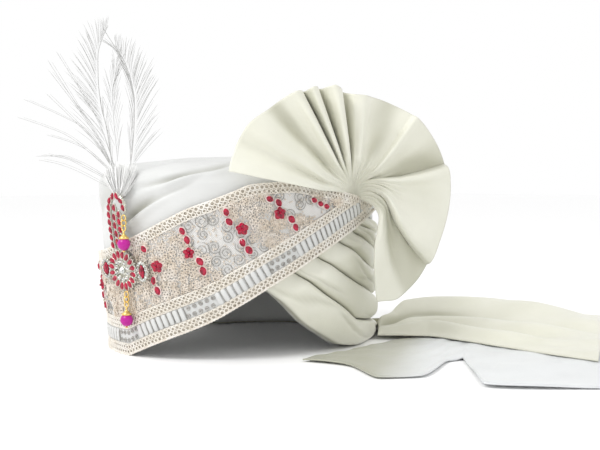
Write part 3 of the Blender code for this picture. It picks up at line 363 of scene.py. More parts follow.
# %% [markdown]
# ## Shader maths as plain expressions
# A finish could be wired by hand in the shader editor, but it is easier to read as a sum than as a
# drawing of nodes. So a small class wraps a node's socket and turns Python's own operators into Math
# nodes, and any other node comes from one method.

# %% Expressions on sockets
class Finish:
    """One material, its node tree, and the method that adds any node to it."""

    def __init__(self, name):
        self.material = bpy.data.materials.new(name)
        self.material.use_nodes = True
        self.tree = self.material.node_tree
        self.shader = self.tree.nodes["Principled BSDF"]

    def node(self, kind, settings=None, **values):
        """Any node: its settings first, then its sockets by name, or by number as in _0."""
        made = self.tree.nodes.new(kind)
        for key, value in (settings or {}).items():
            setattr(made, key, value)
        for key, value in values.items():
            socket = int(key[1:]) if key[0] == "_" else key.replace("_", " ")
            self.put(made.inputs[socket], value)
        return made

    def put(self, socket, value):
        """A link, a colour or a number into a socket."""
        if isinstance(value, Wire):
            self.tree.links.new(value.socket, socket)
        elif isinstance(value, (tuple, list)) and len(value) == 3 and socket.type == "RGBA":
            socket.default_value = (*value, 1.0)
        else:
            socket.default_value = value

    def wire(self, node, output=0):
        """One output of a node, ready for sums."""
        return Wire(self, node.outputs[output])

    def math(self, operation, *values, clamp=False):
        """One Math node on numbers or wires."""
        sockets = {f"_{k}": value for k, value in enumerate(values)}
        return self.wire(self.node("ShaderNodeMath", {"operation": operation, "use_clamp": clamp}, **sockets))

    def mix(self, factor, first, second):
        """The first colour where the factor is 0 and the second where it is 1."""
        made = self.node("ShaderNodeMix", {"data_type": "RGBA"}, _0=factor, _6=first, _7=second)
        return self.wire(made, 2)

    def noise(self, place, scale, detail, stretch=(1.0, 1.0, 1.0)):
        """Soft noise over a place, with scale as waves in a metre."""
        moved = self.wire(self.node("ShaderNodeMapping", Vector=place, Scale=stretch))
        values = {"Vector": moved, "Scale": scale, "Detail": detail, "Roughness": 0.55}
        return self.wire(self.node("ShaderNodeTexNoise", **values))

    def spread(self, value, gain, offset):
        """A value times a gain plus an offset, held between 0 and 1."""
        return self.math("MULTIPLY_ADD", value, gain, offset, clamp=True)

    def place(self):
        """The place in space, in metres: Object coordinates."""
        return self.wire(self.node("ShaderNodeTexCoord"), 3)

    def cloth_place(self):
        """The two distances over the cloth, in metres, from the piece's own UV map."""
        uv = self.wire(self.node("ShaderNodeUVMap", {"uv_map": "UVMap"}))
        made = self.node("ShaderNodeSeparateXYZ", Vector=uv)
        return self.wire(made, 0), self.wire(made, 1)

    def bump(self, height, distance, strength):
        """A height in the shader's normal, as relief of a distance in metres."""
        made = self.node("ShaderNodeBump", Height=height, Distance=distance, Strength=strength)
        self.set(Normal=self.wire(made))

    def set(self, **values):
        """Values or wires into the shader's sockets, by name."""
        for key, value in values.items():
            self.put(self.shader.inputs[key.replace("_", " ")], value)
        return self.material


class Wire:
    """A number on its way through the nodes: adding, taking away or multiplying makes a Math node."""

    def __init__(self, finish, socket):
        self.finish = finish
        self.socket = socket

    def __add__(self, other):
        return self.finish.math("ADD", self, other)

    def __sub__(self, other):
        return self.finish.math("SUBTRACT", self, other)

    def __rsub__(self, other):
        return self.finish.math("SUBTRACT", other, self)

    def __mul__(self, other):
        return self.finish.math("MULTIPLY", self, other)

    __radd__ = __add__
    __rmul__ = __mul__


print("operators on a wire: + - *")

# %% [markdown]
# ## The satin
# The whole turban is tied from one length of cream satin. Satin is woven with long floats, so it is
# smooth and shines softly, with very fine threads and a slight mottling where it has been pressed. Its
# threads could be modelled, but they are finer than a pixel, so they are bump, and the folds are real
# geometry. The olive that light bouncing between folds gives their valleys is painted shade, from a stored
# fold depth.

# %% Satin finishes
THREAD = 0.0006


def satin(name, colour, deep, fold_shade_tone, roughness):
    """Satin: two near tones mixed by noise, painted olive shade in the fold valleys, with crossed sines for
    threads.
    """
    f = Finish(name)
    place = f.place()
    cloud = f.noise(place, 28.0, 4.0)
    pressed = f.noise(place, 90.0, 3.0, stretch=(1.0, 1.0, 2.2))
    u, v = f.cloth_place()
    weave = f.math("SINE", u * (2 * math.pi / THREAD)) * f.math("SINE", v * (2 * math.pi / THREAD))
    f.bump(weave * 0.12 + pressed * 1.2 + cloud * 1.5, 0.0004, 0.55)
    surface = f.mix(f.spread(cloud, 1.6, -0.3), deep, colour)
    # Painted shade: the stored fold depth mixes the olive shade tone into the colour.
    fold_shade = f.wire(f.node("ShaderNodeAttribute", {"attribute_name": "fold_shade"}), 2)
    return f.set(
        Base_Color=f.mix(fold_shade, surface, fold_shade_tone),
        Roughness=roughness + (pressed - 0.5) * 0.12,
        Sheen_Weight=0.25,
        Sheen_Roughness=0.4,
        Specular_IOR_Level=0.5,
    )


# The third colour of each satin is the olive of its painted fold shade.
cream = satin("cream_satin", (0.80, 0.795, 0.70), (0.72, 0.715, 0.605), (0.25, 0.245, 0.135), 0.36)
white_satin = satin("white_satin", (0.69, 0.695, 0.685), (0.61, 0.615, 0.60), (0.36, 0.36, 0.31), 0.38)
print("nodes of a satin:", len(cream.node_tree.nodes))

# %% [markdown]
# ## The camera, the floor and the light
# The photograph looks at the wearer's left front from a little above the surface. The camera could be
# placed by eye, but it is worked out from a few pixel distances, so that it holds. The soft light comes
# from all sides, as in a white tent, with one lamp above and in front for the shading of the folds.

# %% Camera, floor, lights
CAMERA_AZIMUTH = 50.0
CAMERA_DISTANCE = 0.800
CAMERA_HEIGHT = 0.130
FOCAL_PIXELS = 992.0
AIM_RIGHT_PIXELS = 60.0
AIM_DOWN_PIXELS = 47.4
FRAME_WIDTH_PIXELS = 600.0

azimuth = math.radians(CAMERA_AZIMUTH)
TO_CAMERA = np.array([math.sin(azimuth), -math.cos(azimuth), 0.0])
TO_RIGHT = np.array([math.cos(azimuth), math.sin(azimuth), 0.0])
UP = np.array([0.0, 0.0, 1.0])

camera_data = bpy.data.cameras.new("camera")
camera = bpy.data.objects.new("camera", camera_data)
bpy.context.scene.collection.objects.link(camera)
bpy.context.scene.camera = camera
camera_data.lens = FOCAL_PIXELS / FRAME_WIDTH_PIXELS * camera_data.sensor_width
camera_data.clip_start = 0.01
camera.location = Vector(HEAD + TO_CAMERA * CAMERA_DISTANCE + UP * CAMERA_HEIGHT)
aim = -TO_CAMERA + TO_RIGHT * AIM_RIGHT_PIXELS / FOCAL_PIXELS - UP * AIM_DOWN_PIXELS / FOCAL_PIXELS
camera.rotation_euler = Vector(aim).to_track_quat("-Z", "Y").to_euler()

scene = bpy.context.scene
scene.view_settings.view_transform = "Standard"
world = bpy.data.worlds.new("tent")
scene.world = world
world.use_nodes = True
world.node_tree.nodes["Background"].inputs["Color"].default_value = (1.0, 1.0, 1.0, 1.0)
world.node_tree.nodes["Background"].inputs["Strength"].default_value = 1.0

floor_finish = Finish("pale_floor")
floor_finish.set(Base_Color=(0.985, 0.985, 0.985), Roughness=0.9, Specular_IOR_Level=0.1)
floor_mesh = mesh_from("floor", [(-6, -6, 0), (6, -6, 0), (6, 6, 0), (-6, 6, 0)], [(0, 1, 2, 3)])
floor_mesh.materials.append(floor_finish.material)
floor = bpy.data.objects.new("floor", floor_mesh)
scene.collection.objects.link(floor)
floor.location.z = -0.0004


def lamp(name, right, ahead, high, size, power):
    """A square soft light, placed by its distance right of the camera's line, towards the camera, and up."""
    data = bpy.data.lights.new(name, "AREA")
    data.shape = "SQUARE"
    data.size = size
    data.energy = power
    made = bpy.data.objects.new(name, data)
    made.location = Vector(HEAD + TO_RIGHT * right + TO_CAMERA * ahead + UP * high)
    towards = Vector(HEAD + UP * 0.08 - np.array(made.location))
    made.rotation_euler = towards.to_track_quat("-Z", "Y").to_euler()
    scene.collection.objects.link(made)


lamp("key", -0.75, 0.55, 1.05, 0.45, 7.5)
lamp("fill", 1.3, 0.7, 0.7, 1.0, 0.8)
print("camera at:", np.array(camera.location).round(3), "lens in mm:", round(camera_data.lens, 1))

# %% [markdown]
# ## The crown
# The top of the turban is one layer of satin drawn over the padded form and pinched where the side fan is
# tied. Its folds spread from that pinch. A cloth simulation would lay them anywhere, so each fold is a
# row of a table that says where it lies. The same skin runs down inside, so the turban is hollow as the
# real one is.

# %% Crown
RIM_LIFT = 0.0015
LEDGE_LIP = 0.003
CEILING_LOW = 0.092
CEILING_HIGH = 0.136
ROLL_GAP = 0.0005
# angle, height share, half-spread in degrees, half-spread in height, tilt, depth in metres
FOLDS = (
    (38, 0.905, 20, 0.014, 0.0030, -0.0036),
    (32, 0.86, 20, 0.022, 0.0040, 0.0034),
    (26, 0.80, 18, 0.018, 0.0060, -0.0034),
    (20, 0.75, 18, 0.026, 0.0075, 0.0026),
    (12, 0.73, 14, 0.024, 0.0080, -0.0024),
    (6, 0.82, 18, 0.040, 0.0060, 0.0018),
    (-25, 0.72, 22, 0.070, 0.0040, -0.0022),
    (-60, 0.80, 26, 0.060, -0.0020, 0.0020),
    (-110, 0.84, 30, 0.050, 0.0020, -0.0018),
    (160, 0.80, 26, 0.050, 0.0025, -0.0020),
)


def rim(angle):
    """Height of the crown's lower edge: the lower of the band's edge and the rolls', a little lifted."""
    angle = signed(angle)
    band = np.where(np.abs(angle) < 90, band_low(angle), HEIGHT)
    roll = np.where(np.abs(angle) > CREASE_ROWS[0][0], crease("rim", angle), HEIGHT)
    return np.minimum(band, roll) + RIM_LIFT


def ledge(angle):
    """Where the front wrap's full thickness starts: above the topmost roll that has begun at this angle."""
    angle = signed(angle)
    height = rim(angle) + LEDGE_LIP
    for _, upper, left, right in ROLLS:
        start = np.where(angle > 0, left, right)
        begun = smooth((np.abs(angle) - start + 2.0) / 5.0)
        height = height + (crease(upper, angle) + ROLL_GAP - height) * begun
    return height


def drape(angle, height):
    """Sum of soft ridges, each a bell across its own slanted line, kept off the strip under the band."""
    share = height / HEIGHT
    total = np.zeros(np.broadcast(angle, height).shape)
    for place, level, spread, rise, tilt, depth in FOLDS:
        across = signed(angle - place)
        bell = np.exp(-((across / spread) ** 2) - ((share - level - tilt * across) / rise) ** 2)
        total = total + depth * bell
    band = np.where(np.abs(signed(angle) - 23.5) < 108, band_high(angle), 0.0)
    return total * smooth((height - band - 0.002) / 0.008) * smooth((0.985 - share) / 0.03)


def make_crown():
    """Rings from the ceiling down the inside, round the rim and up the outside, moved out by the drape."""
    angle = np.linspace(0, 360, 361)[:-1]
    rings = []
    folds = []
    for turn in np.radians([89, 80, 65, 50, 35, 20, 8, 0]):
        lift = CEILING_LOW + (CEILING_HIGH - CEILING_LOW) * math.sin(turn)
        wide, long = HEAD_HALF_WIDTH * math.cos(turn), HEAD_HALF_LENGTH * math.cos(turn)
        rings.append(on_ellipse(angle, wide, long, lift))
    inner, low = rim(angle), ledge(angle)
    for share in (0.5, 0.94):
        level = CEILING_LOW + (inner - CEILING_LOW) * share
        rings.append(on_ellipse(angle, HEAD_HALF_WIDTH, HEAD_HALF_LENGTH, level))
    rings.append(on_ellipse(angle, HEAD_HALF_WIDTH + 0.0006, HEAD_HALF_LENGTH + 0.0006, inner))
    rings.append(underneath(angle, inner, -0.0006))
    rings.append(underneath(angle, inner + 0.001))
    rings.append(underneath(angle, low))
    rings.append(outside(angle, low, -0.0012))
    top = DOME[-1][0] * HEIGHT
    for share in np.linspace(0.012, 1, 90) ** 0.85:
        level = low + (top - low) * share
        skin = outside(angle, level)
        folds.append(drape(angle, level))
        rings.append(skin + unit(skin - HEAD - UP * 0.06) * folds[-1][:, None])
    pole = rings.pop()[0]
    folds.pop()
    loops = np.array(rings)
    # Painted shade: where the drape folds inwards the satin darkens towards its olive shade tone.
    fold_shade = np.zeros(loops.shape[:2])
    fold_shade[-len(folds) :] = -np.array(folds) / 0.0036
    u = np.broadcast_to(np.radians(angle) * HALF_LENGTH, loops.shape[:2])
    side_line = np.cumsum(np.linalg.norm(np.diff(loops[:, 90], axis=0), axis=-1))
    v = np.broadcast_to(np.r_[0, side_line][:, None], u.shape)
    crown = ring_piece("crown_wrap", loops, white_satin, (u, v), fold_shade, pole)
    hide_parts("crown")
    print("crown rings:", len(loops), "deepest fold in mm:", round(1000 * float(-np.min(folds)), 2))


make_crown()

# %% [markdown]
# ## The wrapped rolls
# Below and behind the band the cloth is wound in six plump layers. One bumpy skin could stand for all of
# them, but each real layer laps the next, so each is a padded roll of its own. Its section is a rounded
# D, and it is drawn out from under the band and runs round the nape to the other temple.

# %% Rolls
ROLL_SQUARENESS = 2.6


def exposure(angle, height):
    """0 where the band lies over a roll, 1 where the roll is free to swell past the outline."""
    place = signed(angle)
    below = (band_low(angle) - 0.006 - height) / 0.012
    above = (height - band_high(angle) - 0.006) / 0.012
    past_end = np.maximum(place - BAND_LOWER[-1][0], BAND_LOWER[0][0] - place) / 6.0
    return np.maximum(np.maximum(smooth(below), smooth(above)), smooth(past_end))


def make_roll(number, lower, upper, left, right):
    """A D section, from a circle's sine and cosine raised to a power, carried round between two creases."""
    angle = np.linspace(left, 360 - right, 260)[:, None]
    low = crease(lower, angle) + (ROLL_GAP if number > 1 else 0.0)
    high = crease(upper, angle) - ROLL_GAP / 4
    turn = np.linspace(-90, 90, 25)[None]
    way = np.radians(angle)
    bend = np.abs(np.sin(np.radians(turn))) ** (2 / ROLL_SQUARENESS) * np.sign(turn)
    full = np.abs(np.cos(np.radians(turn))) ** (2 / ROLL_SQUARENESS)
    height = (low + high) / 2 + (high - low) / 2 * bend
    free = exposure(angle, height) * smooth((angle - left) / 5.0) * smooth((360 - right - angle) / 16.0)
    swell = (ROLL_BULGE + 0.001) * free - 0.001
    wave = 0.0011 * np.sin(way * 7 + number * 2.1 + 2.0 * turn / 90)
    wave = wave + 0.0006 * np.sin(way * 19 + number * 1.3 - 1.5 * turn / 90)
    first = 50 * np.sin(way * 3.1 + number * 1.9)
    second = 42 * np.sin(way * 2.3 + number * 3.1 + 2)
    pinch = np.exp(-(((turn - first) / 8) ** 2)) * smooth(0.5 + np.sin(way * 5 + number))
    pinch = pinch + np.exp(-(((turn - second) / 6) ** 2)) * smooth(0.3 + np.sin(way * 6 + number * 2.6))
    swell = swell + (wave - 0.0016 * pinch) * free * full
    inner = underneath(angle, height, 0.001)
    thick = 0.48 + 0.54 * full
    points = inner + (outside(angle, height, swell) - inner) * thick[..., None]
    back = np.stack([underneath(angle[:, 0], h[:, 0], 0.001) for h in (high, low)], 1)
    loops = np.concatenate([points, back], 1)
    u = np.broadcast_to(way * HALF_LENGTH, loops.shape[:2])
    v = np.broadcast_to(np.linspace(0, 0.04, loops.shape[1])[None], u.shape)
    # Painted shade: darker along the creases where each roll turns under, and in its pinches, where it is
    # free of the band.
    fold_shade = np.zeros(loops.shape[:2])
    fold_shade[:, : turn.size] = np.maximum(0.7 - full * 1.4, 0) * free + 0.22 * pinch * full
    roll = ring_piece(f"wound_roll_{number}", loops, cream, (u, v), fold_shade, flip=True)
    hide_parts(f"wrap_roll_{number}")
    print("roll", number, "is as high as, in mm:", round(1000 * float(np.max(high - low)), 1))


for number, row in enumerate(ROLLS, start=1):
    make_roll(number, *row)

# %% [markdown]
# ## The embroidered band
# A strip of white and silver net is worked with metal thread, edged above and below with ring lace, and
# wound diagonally over the front. A picture of the needlework would look flat from the side, so the net
# is a plain sheet here, a little proud of the crown, and the needlework lies on it as real threads.

# %% Band cloth and the places on it
BAND_OFF = 0.0030
BAND_FIRST = BAND_LOWER[0][0]
BAND_LAST = BAND_LOWER[-1][0]
LOWER_LACE = 0.027
UPPER_LACE = 0.0072
DEGREE = 0.0019
FINE_ANGLES = np.linspace(BAND_FIRST, BAND_LAST, 1500)
FINE_LINE = outside(FINE_ANGLES, band_low(FINE_ANGLES) + LOWER_LACE / 2, BAND_OFF)
ARC = np.cumsum(np.r_[0.0, np.linalg.norm(np.diff(FINE_LINE, axis=0), axis=-1)])


def net(name):
    """White net shot with silver: crossed sines for a fine grid of threads, clouded with grey."""
    f = Finish(name)
    u, v = f.cloth_place()
    mesh_size = 2 * math.pi / 0.0016
    holes = f.math("SINE", u * mesh_size) * f.math("SINE", v * mesh_size)
    cloud = f.noise(f.place(), 70.0, 4.0)
    colour = f.mix(f.spread(holes, 1.4, 0.6) * 0.3, (0.86, 0.855, 0.84), (0.52, 0.51, 0.49))
    f.bump(holes, 0.0004, 0.6)
    tint = f.spread(cloud, 3.0, -1.2)
    return f.set(Base_Color=f.mix(tint * 0.4, colour, (0.60, 0.57, 0.52)), Roughness=0.45, Metallic=0.1)


def thread(name, colour, dark, roughness, metallic, pale_share=0.6):
    """Metal or silk thread: fine noise mixes two tones, and slower noise mixes in a paler tint in patches."""
    f = Finish(name)
    tone = f.spread(f.noise(f.place(), 420.0, 2.0), 2.6, -0.8)
    pale_patches = f.spread(f.noise(f.place(), 95.0, 2.0), 4.0, -1.7)
    pale = tuple(0.45 * part + 0.5 for part in colour)
    f.bump(f.noise(f.place(), 1600.0, 1.0), 0.0002, 0.5)
    surface = f.mix(pale_patches * pale_share, f.mix(tone, dark, colour), pale)
    return f.set(Base_Color=surface, Roughness=roughness, Metallic=metallic)


white_net = net("silver_shot_net")
zari = thread("beige_gold_zari", (0.86, 0.775, 0.675), (0.56, 0.475, 0.375), 0.42, 0.08)
lace_thread = thread("cream_lace_thread", (0.88, 0.84, 0.76), (0.68, 0.62, 0.53), 0.5, 0.05)
grey_thread = thread("grey_silver_thread", (0.50, 0.485, 0.455), (0.28, 0.27, 0.25), 0.4, 0.25, 0.0)
# Painted shade: this darker strip lies under the rings so the gaps between them look shaded, and it also
# stands for the lace's darker outlines.
lace_shade = thread("lace_shade_ground", (0.66, 0.60, 0.51), (0.44, 0.39, 0.32), 0.7, 0.0, 0.0)


def band_sheet(name, low, high, off, rows, material, wall):
    """A sheet round the front between two heights, each a function of the angle."""
    angle = np.linspace(BAND_FIRST, BAND_LAST, 420)[:, None]
    level = low(angle) + (high(angle) - low(angle)) * np.linspace(0, 1, rows)[None]
    points = outside(angle, level, off)
    uv = (np.interp(angle, FINE_ANGLES, ARC) + 0 * level, level)
    return cloth_piece(name, points, uv, material, wall, flip=True)


def band_room(angle):
    """The band's height: its upper edge less its lower one."""
    return band_high(angle) - band_low(angle)


def lower_lace_top(angle):
    """The lower edge plus the lace's width, or a share of the band where it narrows."""
    return band_low(angle) + np.minimum(LOWER_LACE, band_room(angle) * 0.94)


def upper_lace_foot(angle):
    """The upper edge less the narrow lace's width, or a share of the band where it narrows."""
    return band_high(angle) - np.minimum(UPPER_LACE, band_room(angle) * 0.3)


def on_band(angle, level, off, edge=band_low):
    """Places at a distance in from one edge of the band, with directions along, across and out of it."""
    way = 1.0 if edge is band_low else -1.0
    place = outside(angle, edge(angle) + way * level, off)
    ahead = outside(angle + 0.4, edge(angle + 0.4) + way * level, off)
    behind = outside(angle - 0.4, edge(angle - 0.4) + way * level, off)
    along = unit(ahead - behind)
    out = face_of_band(angle, edge(angle) + way * level, off)[3]
    out = unit(out - along * np.sum(out * along, -1, keepdims=True))
    return place, (along, np.cross(out, along), out)


def evenly(spacing, start=0.0, first=BAND_FIRST, last=BAND_LAST):
    """Angles a given distance apart along the band."""
    low, high = np.interp([first, last], FINE_ANGLES, ARC)
    return np.interp(np.arange(low + start + spacing / 2, high, spacing), ARC, FINE_ANGLES)


band = band_sheet("embroidered_net", band_low, band_high, BAND_OFF, 26, white_net, 0.0009)
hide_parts("front_band")
GROUND_OFF = BAND_OFF + 0.0006
# These darker strips under the ring lace are painted shade between the rings, and partly the lace's darker
# outlines.
lower_ground = band_sheet("lower_lace_ground", band_low, lower_lace_top, GROUND_OFF, 8, lace_shade, 0.0005)
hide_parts("lower_border")
upper_ground = band_sheet("upper_lace_ground", upper_lace_foot, band_high, GROUND_OFF, 5, lace_shade, 0.0005)
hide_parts("upper_border")
print("along the middle of the wide lace, in metres:", round(float(ARC[-1]), 3))

# %% [markdown]
# ## Ring lace, cords and the ladder of satin tabs
# The lace is rows of linked rings between twisted cords. Between its two rows runs a ladder: padded satin
# tabs parted by dark bars, with some tabs swapped for pairs of little rings. An array modifier along a
# curve would bend each ring, so copies of a ring, a tab and a bar are set by arrays of places, each
# square to the band.

# %% Lace
LACE_OFF = BAND_OFF + 0.0012
RING = torus(0.13, 12, 5)


def lace_row(level, diameter, spacing, edge=band_low, start=0.0):
    """Rings a spacing apart at one distance from an edge, where the band has room for them."""
    angle = evenly(spacing, start)
    angle = angle[band_room(angle) > level + 0.006]
    place, ways = on_band(angle, level, LACE_OFF, edge)
    size = np.full((len(angle), 3), diameter)
    size[:, 0] *= 1.08
    return copies(RING, place, ways, size)


def cord(level, radius, edge=band_low, need=0.0):
    """A twisted cord along the band: a tube whose radius is a sine of its angle and of the distance."""
    angle = np.linspace(BAND_FIRST + 0.3, BAND_LAST - 0.3, 1100)
    angle = angle[band_room(angle) > max(level + 0.0015, need)]
    place, (_, across, out) = on_band(angle, level, LACE_OFF - 0.0002, edge)
    turn = 2 * math.pi * np.arange(6) / 6
    distance = np.interp(angle, FINE_ANGLES, ARC)
    swell = radius * (1 + 0.22 * np.sin(2 * math.pi * distance[:, None] / 0.0026 + turn[None]))
    ring = across[:, None] * np.cos(turn)[None, :, None] + out[:, None] * np.sin(turn)[None, :, None]
    points = place[:, None] + ring * swell[..., None]
    return points.reshape(-1, 3), tube_faces(len(angle), 6)


rows = [lace_row(0.0024, 0.0040, 0.0034), lace_row(0.0058, 0.0038, 0.0034, start=0.0017)]
rows += [lace_row(0.0213, 0.0038, 0.0034), lace_row(0.0245, 0.0036, 0.0034, start=0.0017)]
lower_rings = joined("lower_ring_lace", rows, lace_thread)
rows = [lace_row(0.0024, 0.0042, 0.0038, band_high), lace_row(0.0056, 0.0036, 0.0038, band_high, 0.0019)]
upper_rings = joined("upper_ring_lace", rows, lace_thread)
cords = [cord(0.0002, 0.0008), cord(0.0079, 0.0005), cord(0.0193, 0.0005), cord(0.0266, 0.0006)]
cords += [cord(0.0002, 0.0006, band_high), cord(0.0075, 0.0005, band_high, 0.012)]
edge_cords = joined("edge_cords", cords, lace_thread)
print("lace triangles:", len(lower_rings.data.polygons) + len(upper_rings.data.polygons))

# %% Ladder
TAB_PITCH = 0.0048
TAB_HIGH = 0.0102
LADDER_LEVEL = 0.0136


def ladder():
    """Tabs, bars and little rings a pitch apart: the last five places of every fourteen hold rings."""
    angle = evenly(TAB_PITCH)
    angle = angle[band_room(angle) > LADDER_LEVEL + TAB_HIGH / 2 + 0.002]
    number = np.arange(len(angle))
    ringed = (number % 14 >= 9) & (angle < 84)
    place, ways = on_band(angle, LADDER_LEVEL, BAND_OFF + 0.0010)
    corner = circle(12) * 2
    square = np.sign(corner) * np.abs(corner) ** 0.45 / 2
    tab = stacked(square, [(1.0, 0.0), (0.98, 0.55), (0.80, 1.0)])
    size = (TAB_PITCH * 0.80, TAB_HIGH * 0.96, 0.0011)
    plain = ~ringed
    tabs = copies(tab, place[plain], [way[plain] for way in ways], size)
    bar = stacked(circle(6), [(1.0, 0.0), (1.0, 0.6), (0.5, 1.0)])
    between = angle + 0.5 * TAB_PITCH / DEGREE
    spot, turned = on_band(between[plain], LADDER_LEVEL, BAND_OFF + 0.0010)
    bars = copies(bar, spot, turned, (0.0006, TAB_HIGH, 0.0010))
    rings = []
    for side in (-0.27, 0.27):
        spot, turned = on_band(angle[ringed], LADDER_LEVEL + side * TAB_HIGH, LACE_OFF)
        rings.append(copies(torus(0.18, 12, 5), spot, turned, 0.0034))
    return tabs, bars, rings


def ladder_foot(angle):
    """Height of the tabs' lower ends, or a share of the band where it narrows."""
    return band_low(angle) + np.minimum(LADDER_LEVEL - TAB_HIGH / 2, band_room(angle) * 0.4)


def ladder_top(angle):
    """Height of the tabs' upper ends, or a share of the band where it narrows."""
    return band_low(angle) + np.minimum(LADDER_LEVEL + TAB_HIGH / 2, band_room(angle) * 0.8)


LADDER_OFF = BAND_OFF + 0.0009
ladder_ground = band_sheet("ladder_ground", ladder_foot, ladder_top, LADDER_OFF, 5, white_satin, 0.0004)
tab_parts, bar_parts, ring_parts = ladder()
tabs = joined("ladder_tabs", [tab_parts], white_satin)
bars = joined("ladder_bars", [bar_parts, *ring_parts], grey_thread)
print("ladder triangles:", len(tabs.data.polygons) + len(bars.data.polygons))

# %% [markdown]
# ## Thread flowers and scrolls
# Between the stone sprays the field changes from cell to cell: some are packed with knots and loops of
# beige gold thread, and some are open net with spirals of grey silver thread. A bump map could fake them,
# but real threads catch the light from each side. Each knot is a tiny faceted ball, and each spiral a
# thread whose radius shrinks as it turns.

# %% Field
CELLS = (-72.0, -58.0, -40.5, -20.5, 2.0, 21.0, 36.5, 54.0, 70.0, 85.5, 100.0, 116.0)
PACKED_CELLS = (1, 3, 4, 5, 7, 9)
CELL_SLANT = 20.0


def cell_of(angle, share):
    """How far along the row of cells a place is: whole numbers are the sprays, which slant with height."""
    return np.interp(angle + (share - 0.65) * CELL_SLANT, CELLS, np.arange(len(CELLS)))


def field_place(angle, share):
    """Height of a share of the field, from the wide lace to the narrow one."""
    low, high = lower_lace_top(angle), upper_lace_foot(angle)
    return low + (high - low) * share


def scattered(pitch, jitter):
    """Angles and shares of the field's height on a jittered grid, thinned out where the band narrows."""
    angle = evenly(pitch, first=-68.0, last=112.0)
    count = int(0.056 / pitch)
    angle, share = np.meshgrid(angle, (np.arange(count) + 0.5) / count, indexing="ij")
    angle = angle.ravel() + random.uniform(-jitter, jitter, angle.size) * pitch / DEGREE
    share = np.clip(share.ravel() + random.uniform(-jitter, jitter, share.size) / count, 0.02, 0.98)
    room = upper_lace_foot(angle) - lower_lace_top(angle)
    kept = random.uniform(0, 1, len(angle)) < room / 0.052
    return angle[kept], share[kept]


def thread_knots():
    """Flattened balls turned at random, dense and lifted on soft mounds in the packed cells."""
    angle, share = scattered(0.00165, 0.38)
    dense = packed_cell(angle, share)
    kept = random.uniform(0, 1, len(angle)) < np.where(dense, 0.95, 0.16)
    angle, share, dense = angle[kept], share[kept], dense[kept]
    height = field_place(angle, share)
    mound = np.maximum(np.sin(angle * 0.85 + share * 8) * np.sin(share * 13 - angle * 0.45), 0)
    place, across, up, out = face_of_band(angle, height, BAND_OFF + 0.0006 + 0.0019 * mound * dense)
    turn = random.uniform(0, math.pi, len(angle))[:, None]
    first = across * np.cos(turn) + up * np.sin(turn)
    second = np.cross(out, first)
    length = random.uniform(0.0013, 0.0021, len(angle))
    size = np.stack([length, length * 0.62, length * random.uniform(0.45, 0.9, len(angle))], -1)
    return copies(ball(6, 3), place, (first, second, out), size)


def packed_cell(angle, share):
    """True in the cells of packed thread, whose edges wave a little."""
    cell = cell_of(angle, share)
    edge = 0.06 * np.sin(share * 23.0 + np.floor(cell) * 2.0)
    return np.isin(np.floor(cell + edge), PACKED_CELLS)


def thread_loops():
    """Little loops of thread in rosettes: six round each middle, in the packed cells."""
    angle, share = scattered(0.0078, 0.18)
    kept = packed_cell(angle, share)
    angle, share = angle[kept], share[kept]
    height = field_place(angle, share)
    parts = []
    for k in range(7):
        turn = 2 * math.pi * k / 6 + angle
        reach = 0.0 if k == 6 else 0.0027
        spot = (angle + reach * np.cos(turn) / DEGREE, height + reach * np.sin(turn))
        place, across, up, out = face_of_band(*spot, BAND_OFF + 0.0013)
        parts.append(copies(RING, place, (across, up, out), (0.0029, 0.0029, 0.0034)))
    return parts


def scrolls():
    """Spirals in the open cells: threads whose radius shrinks evenly, turning left and right by turns."""
    angle, share = scattered(0.0100, 0.20)
    kept = ~packed_cell(angle, share)
    angle, height = angle[kept], field_place(angle[kept], share[kept])
    t = np.linspace(0, 1, 44)[None]
    hand = np.where(np.arange(len(angle)) % 2 == 0, 1.0, -1.0)[:, None]
    start = random.uniform(0, 2 * math.pi, len(angle))[:, None]
    radius = random.uniform(0.0040, 0.0060, (len(angle), 1)) * (1 - 0.86 * t)
    turn = start + hand * 2 * math.pi * 2.1 * t
    x, y = radius * np.cos(turn), radius * np.sin(turn)
    place, _, _, out = face_of_band(angle[:, None] + x / DEGREE, height[:, None] + y, BAND_OFF + 0.0005)
    return [tubes(place, out, 0.00025, 4)]


knots = joined("zari_knots", [thread_knots()], zari)
loops = joined("zari_loops", thread_loops(), zari)
spirals = joined("silver_scrolls", scrolls(), grey_thread)
print("embroidery triangles:", sum(len(piece.data.polygons) for piece in (knots, loops, spirals)))

# %% [markdown]
# ## Cut stones
# Every stone is the same idea: a pointed oval with a flat table, copied to its place, inside a rim of
# thread or silver. A real cut has many more facets, but they are finer than a pixel. On the band a few
# stones make a spray, most of them with a flower of five petals.

# %% Stones of the sprays
SPRAYS = (
    ((-43.0, 0.84, 0.85), (-40.5, 0.70, 0.0), (-41.5, 0.56, 1.0)),
    ((-24.5, 0.84, 0.85), (-20.5, 0.655, 0.0), (-21.5, 0.55, 0.9), (-19.5, 0.45, 0.9)),
    ((16.5, 0.85, 0.85), (22.1, 0.65, 0.0), (20.0, 0.545, 0.9), (21.6, 0.445, 1.0)),
    ((33.4, 0.842, 0.85), (35.1, 0.753, 0.9), (35.6, 0.641, 0.0), (39.7, 0.537, 1.0), (40.8, 0.45, 1.0)),
    ((49.6, 0.855, 0.85), (50.6, 0.765, 0.9), (55.1, 0.654, 0.0), (55.3, 0.535, 0.9), (57.6, 0.444, 1.0)),
    ((65.0, 0.85, 0.85), (68.3, 0.80, 0.9), (68.7, 0.695, 0.0), (73.3, 0.60, 1.0), (75.0, 0.50, 0.9)),
    ((82.4, 0.80, 0.8), (85.2, 0.745, 0.8), (88.0, 0.70, 0.8)),
)
STONE = 0.0068
STONE_WIDTH = 0.72
STONE_HIGH = 0.0019
PETALS = 5
PETAL_REACH = 0.0023
PETAL_SIZE = (0.0041, 0.0046, 0.0018)
